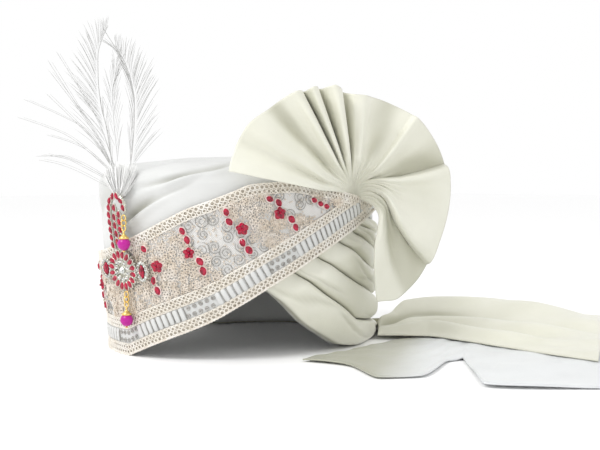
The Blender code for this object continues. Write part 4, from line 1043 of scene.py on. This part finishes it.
STONE_OFF = BAND_OFF + 0.0016
STONE_SHAPE = stacked(marquise(), [(0.96, 0.0), (1.0, 0.35), (0.58, 1.0)])
ROUND_STONE = stacked(circle(10), [(0.92, 0.0), (1.0, 0.35), (0.55, 1.0)])


def glassy(name, colour, metallic=0.0, roughness=0.06, coat=0.6):
    """Cut glass over foil: noise mixes the colour with a dark shade of it, under a clear coat."""
    f = Finish(name)
    shade = tuple(part * 0.35 for part in colour)
    surface = f.mix(f.spread(f.noise(f.place(), 500.0, 1.0), 3.0, -1.0), shade, colour)
    return f.set(Base_Color=surface, Roughness=roughness, Metallic=metallic, Coat_Weight=coat)


def metal(name, colour, roughness):
    """Metal whose roughness follows a fine noise, as where it is worn."""
    f = Finish(name)
    wear = f.noise(f.place(), 600.0, 2.0)
    return f.set(Base_Color=colour, Metallic=1.0, Roughness=roughness + (wear - 0.5) * 0.2)


ruby = glassy("ruby_glass", (0.50, 0.0, 0.04), roughness=0.14, coat=0.1)
crystal = glassy("clear_crystal", (0.90, 0.93, 0.90), 0.5)
silver = metal("pale_silver", (0.66, 0.65, 0.58), 0.28)
gold = metal("warm_gold", (0.88, 0.63, 0.22), 0.25)
pale_thread = thread("pale_pink_thread", (0.86, 0.74, 0.70), (0.72, 0.56, 0.53), 0.5, 0.0)


def spray_parts():
    """Stones along each row of the table, pointing along it, and petals round each place whose size is 0."""
    stones, rims = [], []
    for row in SPRAYS:
        angle, share, size = np.array(row).T
        height = band_low(angle) + (band_high(angle) - band_low(angle)) * share
        place, across, up, out = face_of_band(angle, height, STONE_OFF)
        way = unit(np.gradient(place, axis=0))
        side = np.cross(way, out)
        oval = size > 0
        long = STONE * size[oval]
        ways = (side[oval], way[oval], out[oval])
        size = np.c_[long * STONE_WIDTH, long, 0 * long + STONE_HIGH]
        stones.append(copies(STONE_SHAPE, place[oval], ways, size))
        rims.append(copies(torus(0.09, 14, 5), place[oval], ways, np.c_[long * 0.90, long * 1.16, long]))
        for spot, first, second, face in zip(place[~oval], across[~oval], up[~oval], out[~oval]):
            turn = np.radians(np.arange(PETALS) * 360 / PETALS + 20)[:, None]
            reach = first * np.cos(turn) + second * np.sin(turn)
            faces = np.broadcast_to(face, reach.shape)
            petal = (np.cross(reach, faces), reach, faces)
            grown = random.uniform(0.85, 1.2, (PETALS, 1)) * PETAL_SIZE
            stones.append(copies(STONE_SHAPE, spot + reach * PETAL_REACH, petal, grown))
            edge = grown * (1.12, 1.12, 2.2)
            rims.append(copies(torus(0.07, 14, 5), spot + reach * PETAL_REACH, petal, edge))
            ways = [way_out[None] for way_out in (first, second, face)]
            stones.append(copies(ROUND_STONE, spot[None] + face * 0.0009, ways, 0.0021))
    return stones, rims


stone_parts, rim_parts = spray_parts()
spray_stones = joined("spray_rubies", stone_parts, ruby, is_smooth=False)
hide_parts(*(f"stone_spray_{number}" for number in range(1, len(SPRAYS) + 1)))
spray_rims = joined("spray_edging", rim_parts, pale_thread)
print("stones on the band:", len(spray_stones.data.polygons) // len(STONE_SHAPE[1]))

# %% [markdown]
# ## The kalgi brooch
# A round head of ruby petals on silver, a small setting on each side, and a paisley of stones standing
# over it. It could be modelled flat and then turned into place, but the export puts every object at the
# origin. So one function takes a place on the brooch, in millimetres, to its place in space, leaning with
# the band.

# %% Brooch
BROOCH_ANGLE = 4.5
BROOCH_HEIGHT = 0.43 * HEIGHT
BROOCH_LEAN = 8.5
MM = 0.001
turn, lean = math.radians(BROOCH_ANGLE * 1.2), math.radians(90 + BROOCH_LEAN)
BROOCH_ORIGIN = outside(BROOCH_ANGLE, BROOCH_HEIGHT, 0.0045)
ACROSS = np.array([math.cos(turn), math.sin(turn), 0.0])
RISE = np.array([-math.sin(turn) * math.cos(lean), math.cos(turn) * math.cos(lean), math.sin(lean)])
FACE = np.cross(ACROSS, RISE)
PAISLEY_STONES = (
    (-5.4, 18.5, 18), (-5.8, 24.0, 20), (-6.0, 29.5, 20), (-6.0, 35.0, 20), (-5.8, 40.5, 15),
    (-5.0, 46.0, 5), (-3.2, 51.0, -20), (0.8, 54.2, -15), (5.4, 54.3, 20), (9.2, 51.0, 45),
    (11.0, 46.0, 20), (0.2, 21.0, 15), (0.0, 27.0, 15), (-0.4, 33.0, 15), (-0.2, 39.2, 15),
    (0.9, 46.0, 0), (4.9, 24.5, 25), (5.0, 30.2, 25), (5.0, 35.8, 20), (5.2, 41.2, 5),
)
PAISLEY_WIRES = (
    (
        (-4.2, 13.0), (-5.6, 18.0), (-6.0, 30.0), (-5.8, 41.0), (-3.6, 50.0), (1.5, 54.6),
        (7.0, 53.6), (10.8, 48.5), (10.6, 42.5),
    ),
    (
        (0.0, 14.0), (0.2, 20.0), (-0.3, 34.0), (0.6, 47.5),
    ),
    (
        (4.2, 13.0), (4.9, 20.0), (5.0, 32.0), (5.2, 42.5),
    ),
)
PLATE = 1.6


def on_brooch(x, y, z):
    """The origin plus x across, y up and z out of the brooch."""
    x, y, z = (np.asarray(part, float)[..., None] * MM for part in (x, y, z))
    return BROOCH_ORIGIN + ACROSS * x + RISE * y + FACE * z


def brooch_ways(tilt):
    """Directions across, along and out for stones turned by tilt degrees, positive to the left."""
    turn = np.radians(np.asarray(tilt, float))[:, None]
    across = ACROSS * np.cos(turn) + RISE * np.sin(turn)
    along = RISE * np.cos(turn) - ACROSS * np.sin(turn)
    return across, along, np.broadcast_to(FACE, across.shape)


def set_stones(x, y, z, tilt, width, length, shape=STONE_SHAPE, high=1.9):
    """Stones and their silver rims at places on the brooch, sizes in millimetres."""
    x, y, z, tilt, width, length = np.broadcast_arrays(x, y, z, tilt, width, length)
    ways = brooch_ways(tilt)
    stones = copies(shape, on_brooch(x, y, z), ways, np.c_[width, length, 0 * length + high] * MM)
    size = np.c_[width + 0.7, length + 0.8, 7 + 0 * length] * MM
    return stones, copies(torus(0.09, 14, 5), on_brooch(x, y, z + 0.3), ways, size)


def spaced(route, pitch):
    """Points a given distance apart along a smooth line through a route."""
    route = np.array(route, float)
    share = np.linspace(0, len(route) - 1, 200)
    line = np.stack([through(list(enumerate(route[:, k])), share) for k in (0, 1)], -1)
    run = np.cumsum(np.r_[0.0, np.linalg.norm(np.diff(line, axis=0), axis=-1)])
    at = np.arange(0, run[-1], pitch)
    return np.stack([np.interp(at, run, line[:, k]) for k in (0, 1)], -1)


def grains(x, y, z, size):
    """Round silver grains at places on the brooch."""
    x, y, z = np.broadcast_arrays(np.asarray(x, float), y, z)
    return copies(ball(8, 4), on_brooch(x, y, z), brooch_ways(0 * x), np.full((len(x), 3), size * MM))


def make_flower():
    """Petal stones, crystals and grains at even turns round one middle, each kind at its own radius."""
    petal = 2 * math.pi * (np.arange(16) + 0.5) / 16
    x, y = np.sin(petal), np.cos(petal)
    rubies, rims = set_stones(11.8 * x, 11.8 * y, PLATE, -np.degrees(petal), 3.9, 6.6)
    small = 2 * math.pi * np.arange(10) / 10
    x, y = 6.6 * np.sin(small), 6.6 * np.cos(small)
    crystals, small_rims = set_stones(x, y, PLATE, 0.0, 2.6, 2.6, ROUND_STONE)
    ring = 2 * math.pi * np.arange(24) / 24
    outer_turn = 2 * math.pi * np.arange(32) / 32
    plate = stacked(circle(48), [(0.97, 0.0), (1.0, 0.4), (0.99, 1.0)])
    size = np.array([(27.2, 27.2, PLATE)]) * MM
    base = copies(plate, on_brooch([0.0], [0.0], [0.0]), brooch_ways([0.0]), size)
    metal_parts = [base, rims, small_rims]
    metal_parts.append(grains(8.6 * np.sin(ring), 8.6 * np.cos(ring), PLATE + 0.4, 1.2))
    metal_parts.append(grains(4.2 * np.sin(ring), 4.2 * np.cos(ring), PLATE + 0.4, 0.9))
    metal_parts.append(grains(14.4 * np.sin(outer_turn), 14.4 * np.cos(outer_turn), 0.9, 1.5))
    mount = joined("flower_mount", metal_parts, silver)
    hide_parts("brooch_flower")
    joined("flower_rubies", [rubies], ruby, is_smooth=False)
    joined("flower_crystals", [crystals], crystal, is_smooth=False)
    middle, _ = set_stones([0.0], [0.0], PLATE + 0.3, 0.0, 5.2, 5.2, ROUND_STONE, 2.4)
    centre = joined("middle_crystal", [middle], crystal, is_smooth=False)
    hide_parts("centre_crystal")


def make_side(name, side, cad_setting, cad_ruby):
    """A marquise ruby in an oval of crystals, to one side of the flower and set back a little."""
    middle = 20.0 * side
    back = -1.6
    around = 2 * math.pi * np.arange(14) / 14
    x, y = middle + 4.6 * np.sin(around), 6.4 * np.cos(around)
    crystals, rims = set_stones(x, y, PLATE + back + 0.2, 0.0, 2.0, 2.0, ROUND_STONE, 1.6)
    plate = stacked(circle(32), [(0.95, 0.0), (1.0, 0.5), (0.97, 1.0)])
    size = np.array([(10.6, 14.2, PLATE)]) * MM
    base = copies(plate, on_brooch([middle], [0.0], [back]), brooch_ways([0.0]), size)
    beads = grains(middle + 5.9 * np.sin(around), 7.9 * np.cos(around), back + 0.9, 1.2)
    mount = joined(name + "_mount", [base, rims, beads], silver)
    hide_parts(cad_setting)
    joined(name + "_crystals", [crystals], crystal, is_smooth=False)
    stone, _ = set_stones([middle], [0.0], PLATE + back + 0.4, 0.0, 4.7, 9.6, STONE_SHAPE, 2.2)
    gem = joined(name + "_marquise", [stone], ruby, is_smooth=False)
    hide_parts(cad_ruby)


def make_paisley():
    """Stones at the table's places, on wires with a row of grains along each side."""
    x, y, tilt = np.array(PAISLEY_STONES, float).T
    stones, rims = set_stones(x, y, 2.6, tilt, 3.3, 6.0)
    wires, beads = [], []
    for route in PAISLEY_WIRES:
        line = spaced(route, 0.8)
        path = on_brooch(line[:, 0], line[:, 1], 1.5)[None]
        wires.append(tubes(path, np.broadcast_to(FACE, path.shape), 0.0012, 8))
        side = np.gradient(line, axis=0)
        side = unit(np.stack([-side[:, 1], side[:, 0]], -1))
        for way in (-1.5, 1.5):
            spot = (line + side * way)[::2]
            beads.append(grains(spot[:, 0], spot[:, 1], 2.2, 1.15))
    mount = joined("paisley_mount", [*wires, rims, *beads], silver)
    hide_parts("brooch_paisley")
    joined("paisley_rubies", [stones], ruby, is_smooth=False)


make_flower()
make_side("left_side", 1, "left_side_setting", "left_side_ruby")
make_side("right_side", -1, "right_side_setting", "right_side_ruby")
make_paisley()
print("stones of the paisley:", len(PAISLEY_STONES))

# %% [markdown]
# ## The bead drops
# Two lacquered beads hang from gold caps, each on a few rings. They could be built from Blender's own
# sphere and ring, but a turned profile gives the cap its waist and its eye as well, so bead, cap and pin
# are all turned.

# %% Bead drops
BEAD = 4.6
CAP_PROFILE = (
    (3.4, 3.5), (3.6, 3.9), (3.0, 4.9), (2.0, 5.9), (1.0, 6.8), (0.7, 7.4), (0.9, 7.9), (0.5, 8.4),
    (0.4, 9.4),
)
PIN_PROFILE = ((0.01, -6.0), (0.9, -5.6), (1.0, -5.0), (0.5, -4.5))
HOOP = 0.0052
HOOP_PITCH = 0.0036
magenta = Finish("magenta_lacquer").set(Base_Color=(0.46, 0.0, 0.27), Roughness=0.3)


def middle_of(node):
    """The middle of a CAD node's box."""
    low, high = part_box(node)
    return (np.array(low) + np.array(high)) / 2


def turned_part(centre, profile, around=28):
    """A body turned about the vertical through a centre: a circle at each (radius, height) in millimetres."""
    points, faces = stacked(circle(around) * 2, profile)
    return centre + points * MM, faces


def make_drop(name):
    """A turned bead and cap, petals round the cap's foot, and three rings at right angles to each other."""
    bead_centre = middle_of(name + "_bead")
    turns = np.radians(np.linspace(-89, 89, 24))
    sphere = turned_part(bead_centre, [(BEAD * math.cos(turn), BEAD * math.sin(turn)) for turn in turns])
    bead = joined(name + "_ball", [sphere], magenta)
    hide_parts(name + "_bead")
    petals = []
    for k in range(8):
        turn = 2 * math.pi * k / 8
        spot = bead_centre + np.array([2.9 * math.cos(turn), 2.9 * math.sin(turn), 4.2]) * MM
        petals.append(copies(ball(8, 4), spot[None], np.eye(3)[:, None], 0.0017))
    out = unit(FACE * (1, 1, 0))
    side = np.cross(UP, out)
    rings = []
    for step, first in ((0, out), (-1, side), (1, side)):
        centre = middle_of(name + "_link") + UP * step * HOOP_PITCH
        ways = (first[None], UP[None], np.cross(first, UP)[None])
        rings.append(copies(torus(0.095, 20, 8), centre[None], ways, HOOP))
    pin = turned_part(bead_centre, PIN_PROFILE, 12)
    metal_piece = joined(name + "_gold", [turned_part(bead_centre, CAP_PROFILE), *petals, *rings, pin], gold)
    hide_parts(name + "_link", name + "_cap")
    print(name, "hangs at height", round(float(bead_centre[2]), 4))


make_drop("upper_drop")
make_drop("lower_drop")

# %% [markdown]
# ## The plume
# Two stripped feathers lean together at their tips over a lens of air, with loose barbs blown to the
# wearer's right, all out of a tuft of down. A hair system would place the barbs, but the export needs
# meshes, and a flat card with an image would be no shape at all. So each barb is one fine tapered thread,
# bent from its quill, and all of them lie close to one plane behind the brooch.

# %% Plume
PLUME = 0.125
PLUME_TURN = 35.0
PLUME_ACROSS = np.array([math.cos(math.radians(PLUME_TURN)), math.sin(math.radians(PLUME_TURN)), 0.0])
PLUME_FACE = np.cross(PLUME_ACROSS, UP)
PLUME_ROOT = on_brooch(2.5, 52.0, -2.6)
QUILLS = (
    (
        (0.0, -0.02), (-0.03, 0.10), (-0.05, 0.20), (-0.08, 0.41), (-0.105, 0.52), (-0.117, 0.66),
        (-0.112, 0.80), (-0.08, 0.90), (-0.040, 0.97),
    ),
    (
        (0.0, -0.02), (0.035, 0.10), (0.063, 0.20), (0.088, 0.41), (0.095, 0.55), (0.081, 0.645),
        (0.045, 0.77), (-0.007, 0.85), (-0.072, 0.955),
    ),
    (
        (0.0, -0.02), (-0.005, 0.10), (-0.014, 0.20), (-0.033, 0.45), (-0.036, 0.59),
        (-0.014, 0.69), (0.004, 0.80),
    ),
)
WISPS = (
    ((-0.03, 0.12), (-0.19, 0.264), (-0.33, 0.363), (-0.63, 0.468)),
    ((-0.03, 0.14), (-0.205, 0.39), (-0.364, 0.477), (-0.584, 0.570)),
    ((-0.03, 0.13), (-0.22, 0.285), (-0.33, 0.33), (-0.45, 0.363)),
    ((-0.03, 0.08), (-0.247, 0.20), (-0.38, 0.24), (-0.52, 0.24)),
    ((-0.03, 0.04), (-0.29, 0.165), (-0.40, 0.20), (-0.50, 0.218)),
    ((-0.03, 0.08), (-0.22, 0.175), (-0.33, 0.225), (-0.47, 0.25)),
    ((-0.03, 0.14), (-0.16, 0.33), (-0.26, 0.43), (-0.44, 0.60)),
    ((-0.03, 0.14), (-0.14, 0.35), (-0.24, 0.50), (-0.42, 0.735)),
    ((-0.03, 0.14), (-0.15, 0.38), (-0.26, 0.54), (-0.42, 0.79)),
    ((-0.03, 0.16), (-0.12, 0.42), (-0.22, 0.60), (-0.364, 0.836)),
)


def plume_space(points, depth=0.0):
    """Plane places, as shares of the plume's length, to points in space, bowed forward towards the tip."""
    across, up = points[..., :1] * PLUME, points[..., 1:] * PLUME
    return PLUME_ROOT + PLUME_ACROSS * across + UP * up + PLUME_FACE * (0.07 * up * up / PLUME + depth)


def curve_through(route, count):
    """Points along a smooth line through a route, as many between any two of its places."""
    route = np.array(route, float)
    share = np.linspace(0, len(route) - 1, count)
    return np.stack([through(list(enumerate(route[:, k])), share) for k in (0, 1)], -1)


def barbs(route, side, first, last, count, long_low, long_high, open_low, open_high, depth):
    """Barbs on one side of a quill: each is a sum of short steps that turn away from it."""
    line = curve_through(route, 240)
    share = np.linspace(first, last, count) + random.uniform(-0.004, 0.004, count)
    at = np.clip(share, 0, 1) * 239
    k = at.astype(int)
    base, ahead = line[k], unit(np.gradient(line, axis=0))[k]
    mix = ((share - first) / (last - first))[:, None]
    opening = np.radians(open_low + (open_high - open_low) * mix) + random.normal(0, 0.05, (count, 1))
    length = (long_low + (long_high - long_low) * mix**2) * random.uniform(0.8, 1.1, (count, 1))
    s = np.linspace(0, 1, 9)[None]
    turn = -side * opening * (0.72 + 0.42 * s)
    step_x = ahead[:, :1] * np.cos(turn) - ahead[:, 1:] * np.sin(turn)
    step_y = ahead[:, :1] * np.sin(turn) + ahead[:, 1:] * np.cos(turn)
    x = base[:, :1] + np.cumsum(step_x, 1) * length / 9
    y = base[:, 1:] + np.cumsum(step_y, 1) * length / 9
    lift = random.normal(0, 0.0016, (count, 1, 1)) * s[..., None] + depth
    return plume_space(np.stack([x, y], -1), lift)


def feather_parts():
    """The quills, the loose wisps in pairs, and the barbs on the sides of each quill."""
    flat = np.broadcast_to(PLUME_FACE, (1, 1, 3))
    parts = []

    def add(paths, radius):
        """Three-sided threads along the paths, added to the parts."""
        parts.append(tubes(paths, np.broadcast_to(flat, paths.shape), radius, 3))

    for route, radius in zip(QUILLS, (0.00034, 0.00034, 0.00022)):
        add(plume_space(curve_through(route, 60))[None], radius)
    for route in WISPS:
        add(plume_space(curve_through(route, 24))[None], 0.00019)
        moved = np.array(route) * (0.93, 0.97) + (0.0, 0.012)
        add(plume_space(curve_through(moved, 24), 0.001)[None], 0.00015)
    left, right, middle = QUILLS
    add(barbs(left, -1, 0.24, 0.93, 62, 0.34, 0.08, 36, 18, 0.0), 0.00016)
    add(barbs(left, 1, 0.22, 0.50, 14, 0.16, 0.08, 12, 10, 0.001), 0.00014)
    add(barbs(right, 1, 0.20, 0.86, 62, 0.30, 0.08, 28, 34, 0.0), 0.00016)
    add(barbs(right, -1, 0.22, 0.86, 46, 0.22, 0.12, 14, 16, -0.001), 0.00014)
    add(barbs(middle, -1, 0.40, 0.90, 18, 0.17, 0.10, 16, 18, 0.001), 0.00014)
    add(barbs(middle, 1, 0.35, 0.95, 30, 0.20, 0.10, 18, 16, 0.0), 0.00014)
    return parts


def down_parts():
    """The tuft of down: fine threads that fan out from the binding."""
    count = 520
    spread = random.uniform(-1, 1, count)
    t = np.linspace(0, 1, 7)[None]
    reach = (0.215 - 0.03 * spread**2) * random.uniform(0.55, 1.05, count)
    x = (spread * 0.105)[:, None] * t**0.8
    y = reach[:, None] * t
    points = plume_space(np.stack([x, y], -1), random.normal(0, 0.0022, (count, 1, 1)))
    return [tubes(points, np.broadcast_to(PLUME_FACE, points.shape), 0.00024, 3)]


def feather(name, dark, light):
    """Two tones mixed by a streaky noise."""
    f = Finish(name)
    streak = f.noise(f.place(), 260.0, 2.0)
    return f.set(Base_Color=f.mix(streak, dark, light), Roughness=0.6, Specular_IOR_Level=0.2)


stripped_feather = feather("stripped_feather", (0.44, 0.44, 0.43), (0.68, 0.68, 0.67))
white_down = feather("white_down", (0.88, 0.88, 0.87), (0.97, 0.97, 0.96))
feathers = joined("plume_barbs", feather_parts(), stripped_feather)
down = joined("down_tuft", down_parts(), white_down)
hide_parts("plume")
print("feather triangles:", len(feathers.data.polygons))

# %% [markdown]
# ## The side fan
# One end of the cloth is pleated into the knot at the temple and opened into a fan. A simulation would
# need the knot as well, so its surface is a polar grid: the radius runs from the gather to the hem and
# the angle round it, and the folds are heights added across the fan's plane, deep towards the hem and
# gone at the gather.

# %% Fan
FAN_ANGLE = 105.0
FAN_HEIGHT = 0.821 * HEIGHT
FAN_RADIUS = 0.0790
FAN_OUTLINE = (
    (-78, 1.085), (-67, 1.137), (-55, 1.11), (-42, 1.053), (-28, 1.012), (-10, 1.007), (13, 0.985),
    (38, 0.945), (65, 0.885), (88, 0.872), (97, 0.90), (103, 0.965), (109, 0.965), (114, 1.0),
    (118, 1.0), (123, 1.034), (138, 1.074), (152, 1.147), (172, 1.17),
)
FAN_FOLDS = (
    (-78, 0.5), (-70, 0.2), (-60, -0.9), (-44.5, -0.8), (-42.5, 0.9), (-38, 1.3), (-27, 0.8),
    (-10, 0.1), (3, 0.7), (9, 1.3), (12, 1.1), (14.5, -1.0), (24, -0.8), (34, -0.2), (43, 0.8),
    (47, 1.2), (51, 0.2), (66, -0.8), (78, -0.4), (84, 0.6), (90, 0.2), (97.7, -1.3), (99, 0.9),
    (101.5, 1.4), (106, 0.6), (111.2, -1.2), (112.2, 0.9), (114.5, 1.3), (117, 0.3), (119.6, -1.2),
    (120.8, 0.8), (123, 1.2), (127, 0.4), (136, -1.0), (144, 0.0), (151, 0.6), (158, -0.3),
    (166, 0.3), (172, 0.4),
)
FAN_DROP = 0.006
SATIN_WALL = 0.0012
FAN_SWEEP = ((0.0, 64.0), (0.18, 60.0), (0.26, 46.0), (0.37, 22.0), (0.5, 9.0), (0.74, 2.0), (1.0, 0.0))
FAN_SWEPT = ((-78, 1.0), (-40, 1.0), (12, 0.5), (30, 0.2), (55, 0.0), (172, 0.0))


def outline_depth(right, off, swap=False):
    """How far an ellipse stands out to the camera at a distance to the right, or the other way, swapped."""
    wide, long = HALF_WIDTH + off, HALF_LENGTH + off
    first, second = (TO_RIGHT, TO_CAMERA) if swap else (TO_CAMERA, TO_RIGHT)
    a = (first[0] / wide) ** 2 + (first[1] / long) ** 2
    b = right * (first[0] * second[0] / wide**2 + first[1] * second[1] / long**2)
    c = right**2 * ((second[0] / wide) ** 2 + (second[1] / long) ** 2) - 1
    return (-b + np.sqrt(np.maximum(b * b - a * c, 0.0))) / a


def fan_surface(angle, out):
    """Points of the fan at angles round the gather and shares of the radius, and the height of its folds."""
    root = outside(FAN_ANGLE, FAN_HEIGHT) - HEAD
    full = FAN_RADIUS * through(FAN_OUTLINE, angle)
    radius = 0.0015 + (full - 0.0015) * out
    near = smooth((radius - 0.004) / 0.024)
    swing = angle - (1 - near) * 6.0 * smooth((angle - 120.0) / 40.0)
    swing = swing + through(FAN_SWEEP, radius / full) * through(FAN_SWEPT, angle)
    turn = np.radians(swing)
    side, lift = radius * np.cos(turn), radius * np.sin(turn) - FAN_DROP * (1 - radius / full)
    envelope = smooth((radius - 0.006) / 0.036) * (1.0 - 0.2 * smooth((out - 0.75) / 0.25))
    fold = 0.0072 * (through(FAN_FOLDS, angle) + 0.3) * envelope
    crisp = smooth((angle - 92) / 4) * smooth((134 - angle) / 6)
    gathers = 0.5 + 0.5 * np.cos(np.radians(angle) * 30 + 2 * np.sin(np.radians(angle) * 5))
    fold = fold + gathers**2 * 0.0018 * smooth((radius - 0.004) / 0.01) * smooth((0.6 - out) / 0.5)
    soft = np.sin(np.radians(angle) * 9 + out * 5.0) * np.sin(out * 6.0 + np.radians(angle) * 3)
    fold = fold + 0.0010 * soft * envelope * (1 - crisp)
    right = root @ TO_RIGHT + side
    leave = 0.062
    depth = outline_depth(np.minimum(right, leave), 0.0105) - 0.55 * np.maximum(right - leave, 0.0)
    large = TO_RIGHT * right[..., None] + TO_CAMERA * (depth + fold)[..., None]
    large = large + UP * (root[2] + lift)[..., None]
    along = unit(outside(FAN_ANGLE + 1, FAN_HEIGHT) - outside(FAN_ANGLE - 1, FAN_HEIGHT))
    close = root + along * side[..., None] + UP * lift[..., None]
    close = close + face_of_band(np.array(FAN_ANGLE), np.array(FAN_HEIGHT), 0.0)[3] * 0.0009
    return HEAD + close + (large - close) * near[..., None], fold


def make_fan():
    """The polar grid as a sheet with its wall on both sides, with painted shade in its valleys."""
    around = np.linspace(FAN_OUTLINE[0][0], FAN_OUTLINE[-1][0], 520)[:, None]
    out = np.linspace(0, 1, 64)[None]
    points, fold = fan_surface(around + 0 * out, out + 0 * around)
    uv = (np.radians(around) * 0.06 + 0 * out, out * 0.085 + 0 * around)
    # Painted shade: the valleys of the folds darken, less towards the gather.
    fold_shade = smooth((0.0010 - fold) / 0.0065) * 0.5 * smooth(out / 0.2)
    fan = cloth_piece("pleated_fan", points, uv, cream, SATIN_WALL, 0.0, fold_shade=fold_shade)
    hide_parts("side_fan")
    hem = np.linalg.norm(np.diff(points[:, -1], axis=0), axis=-1).sum()
    print("hem of the fan along its folds, in metres:", round(float(hem), 3))


make_fan()

# %% [markdown]
# ## The tail
# The cloth's free end falls behind the ear and trails over the table in two layers: a thin flat one
# beneath, and a crested one over it that comes out from under the rolls. Cloth dropped by a simulation
# would not crease where the real one does, so the outline is a table of sections and the creases are
# ridges whose lines run together.

# %% Tail
TAIL_REACH = 0.331
TAIL_CREST = 0.020
LOWER_TAIL = (
    (0.330, 0.040, 0.133, 0.104), (0.360, 0.026, 0.224, 0.124), (0.420, 0.012, 0.272, 0.168),
    (0.465, 0.004, 0.352, 0.166), (0.520, 0.000, 0.445, 0.112), (0.570, -0.004, 0.478, 0.106),
    (0.640, -0.010, 0.468, 0.150), (0.720, -0.018, 0.455, 0.196), (0.850, -0.036, 0.570, 0.206),
    (1.000, -0.060, 0.705, 0.208),
)
UPPER_TAIL = (
    (0.366, -0.066, 0.366, 0.012, 0.85), (0.420, -0.072, 0.410, 0.016, 1.00),
    (0.500, -0.078, 0.450, 0.018, 1.05), (0.620, -0.082, 0.520, 0.042, 1.00),
    (0.760, -0.082, 0.590, 0.072, 0.92), (0.880, -0.078, 0.660, 0.102, 0.66),
    (1.000, -0.072, 0.745, 0.134, 0.24),
)
# across where a fold starts at the turban, across further on, half width, share of the crest's height
TAIL_FOLDS = ((0.80, 0.34, 0.15, 0.95), (0.88, 0.66, 0.07, 0.38), (0.93, 0.86, 0.05, 0.22))


def tail_column(rows, column, along):
    """One column of a table of even sections, as a smooth line."""
    shares = np.linspace(0, 1, len(rows))
    return through([(share, row[column]) for share, row in zip(shares, rows)], along)


def floor_place(right, depth, height):
    """The head's middle plus distances to the camera's right, towards it, and up."""
    return HEAD + TO_RIGHT * right[..., None] + TO_CAMERA * depth[..., None] + UP * height[..., None]


def tail_outline(rows, along, across):
    """Places between the far edge and the near one, a share across."""
    far_right, far_depth, near_right, near_depth = (tail_column(rows, k, along) for k in range(4))
    right = TAIL_REACH * (far_right + (near_right - far_right) * across)
    return right, far_depth + (near_depth - far_depth) * across


def make_tails():
    """Two grids on the floor: the lower is rippled by sines, the upper raised by a bell on each fold line."""
    along = np.linspace(0, 1, 150)[:, None] + np.zeros((1, 70))
    across = np.linspace(0, 1, 70)[None] + np.zeros((150, 1))
    right, depth = tail_outline(LOWER_TAIL, along, across)
    wave = 0.0008 * (1 - np.cos(5 * math.pi * along + 4 * across)) * smooth((along - 0.45) / 0.3) * across
    pucker = 1 + np.sin(along * 31 + across * 9) * np.sin(across * 17 - along * 6)
    points = floor_place(right, depth, 0.0009 + wave + 0.0006 * pucker * smooth(across / 0.2))
    # Painted shade: the lower tail darkens where it starts under the rolls.
    tucked_shade = 0.75 * (1 - smooth((along - 0.16) / 0.22))
    lower = cloth_piece("lower_tail", points, (right, depth), bluish, SATIN_WALL, 0.0, True, tucked_shade)
    crest = np.zeros(along.shape)
    lines = []
    for start, middle, spread, share in TAIL_FOLDS:
        lines.append(middle + (start - middle) * np.exp(-along / 0.12))
        width = spread * (0.55 + 0.45 * smooth(along / 0.3))
        crest = crest + share * np.exp(-(((across - lines[-1]) / width) ** 2))
    crest = crest * smooth((along + 0.06) / 0.26)
    # The pocket and the valley below serve only as painted shade.
    pocket = smooth((lines[0] - across - 0.06) / 0.10) * (1 - smooth((along - 0.08) / 0.22))
    between = across - (lines[0] + lines[1]) / 2 - 0.03
    valley = np.exp(-((between / 0.07) ** 2)) * (1 - smooth((along - 0.35) / 0.3))
    right, depth = tail_outline(UPPER_TAIL, along, across)
    near_hem = 0.0048 - 0.0020 * smooth((across - 0.86) / 0.14)
    raised = near_hem + TAIL_CREST * tail_column(UPPER_TAIL, 4, along) * crest
    ripple = np.sin(across * 21 + 2.4 * np.sin(along * 4)) * 0.0014
    ripple = ripple + np.sin(across * 38 + along * 17) * 0.0009
    height = 0.0009 + raised * smooth(across / 0.10)
    height = height + (ripple + 0.0014) * smooth(across / 0.2) * smooth((1.0 - across) / 0.1)
    seat = outline_depth(depth, 0.0045, swap=True) + 0.0008
    right = right + (seat - right) * (1 - smooth(along / 0.10))
    # Painted shade: darker in the pocket by the turban, in the valley between the first two folds, and
    # slightly where the crest is low.
    fold_shade = np.maximum(pocket * 0.9, valley * 0.55) + 0.08 * smooth((0.5 - crest) / 0.5)
    points = floor_place(right, depth, height)
    upper = cloth_piece("upper_tail", points, (right, depth), cream, SATIN_WALL, 0.0, True, fold_shade)
    for piece, node, flat, rests in (
        (lower, "tail_lower", (0.17, 0.24), []),
        (upper, "tail_upper", (0.15, 0.22), ["tail_lower"]),
    ):
        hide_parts(node)
    print("crest of the tail, in metres:", round(float(height.max()), 4))


# Its third colour is the olive of the painted shade where the lower tail starts under the rolls.
bluish = satin("bluish_satin", (0.78, 0.80, 0.81), (0.69, 0.71, 0.72), (0.30, 0.295, 0.18), 0.34)
make_tails()
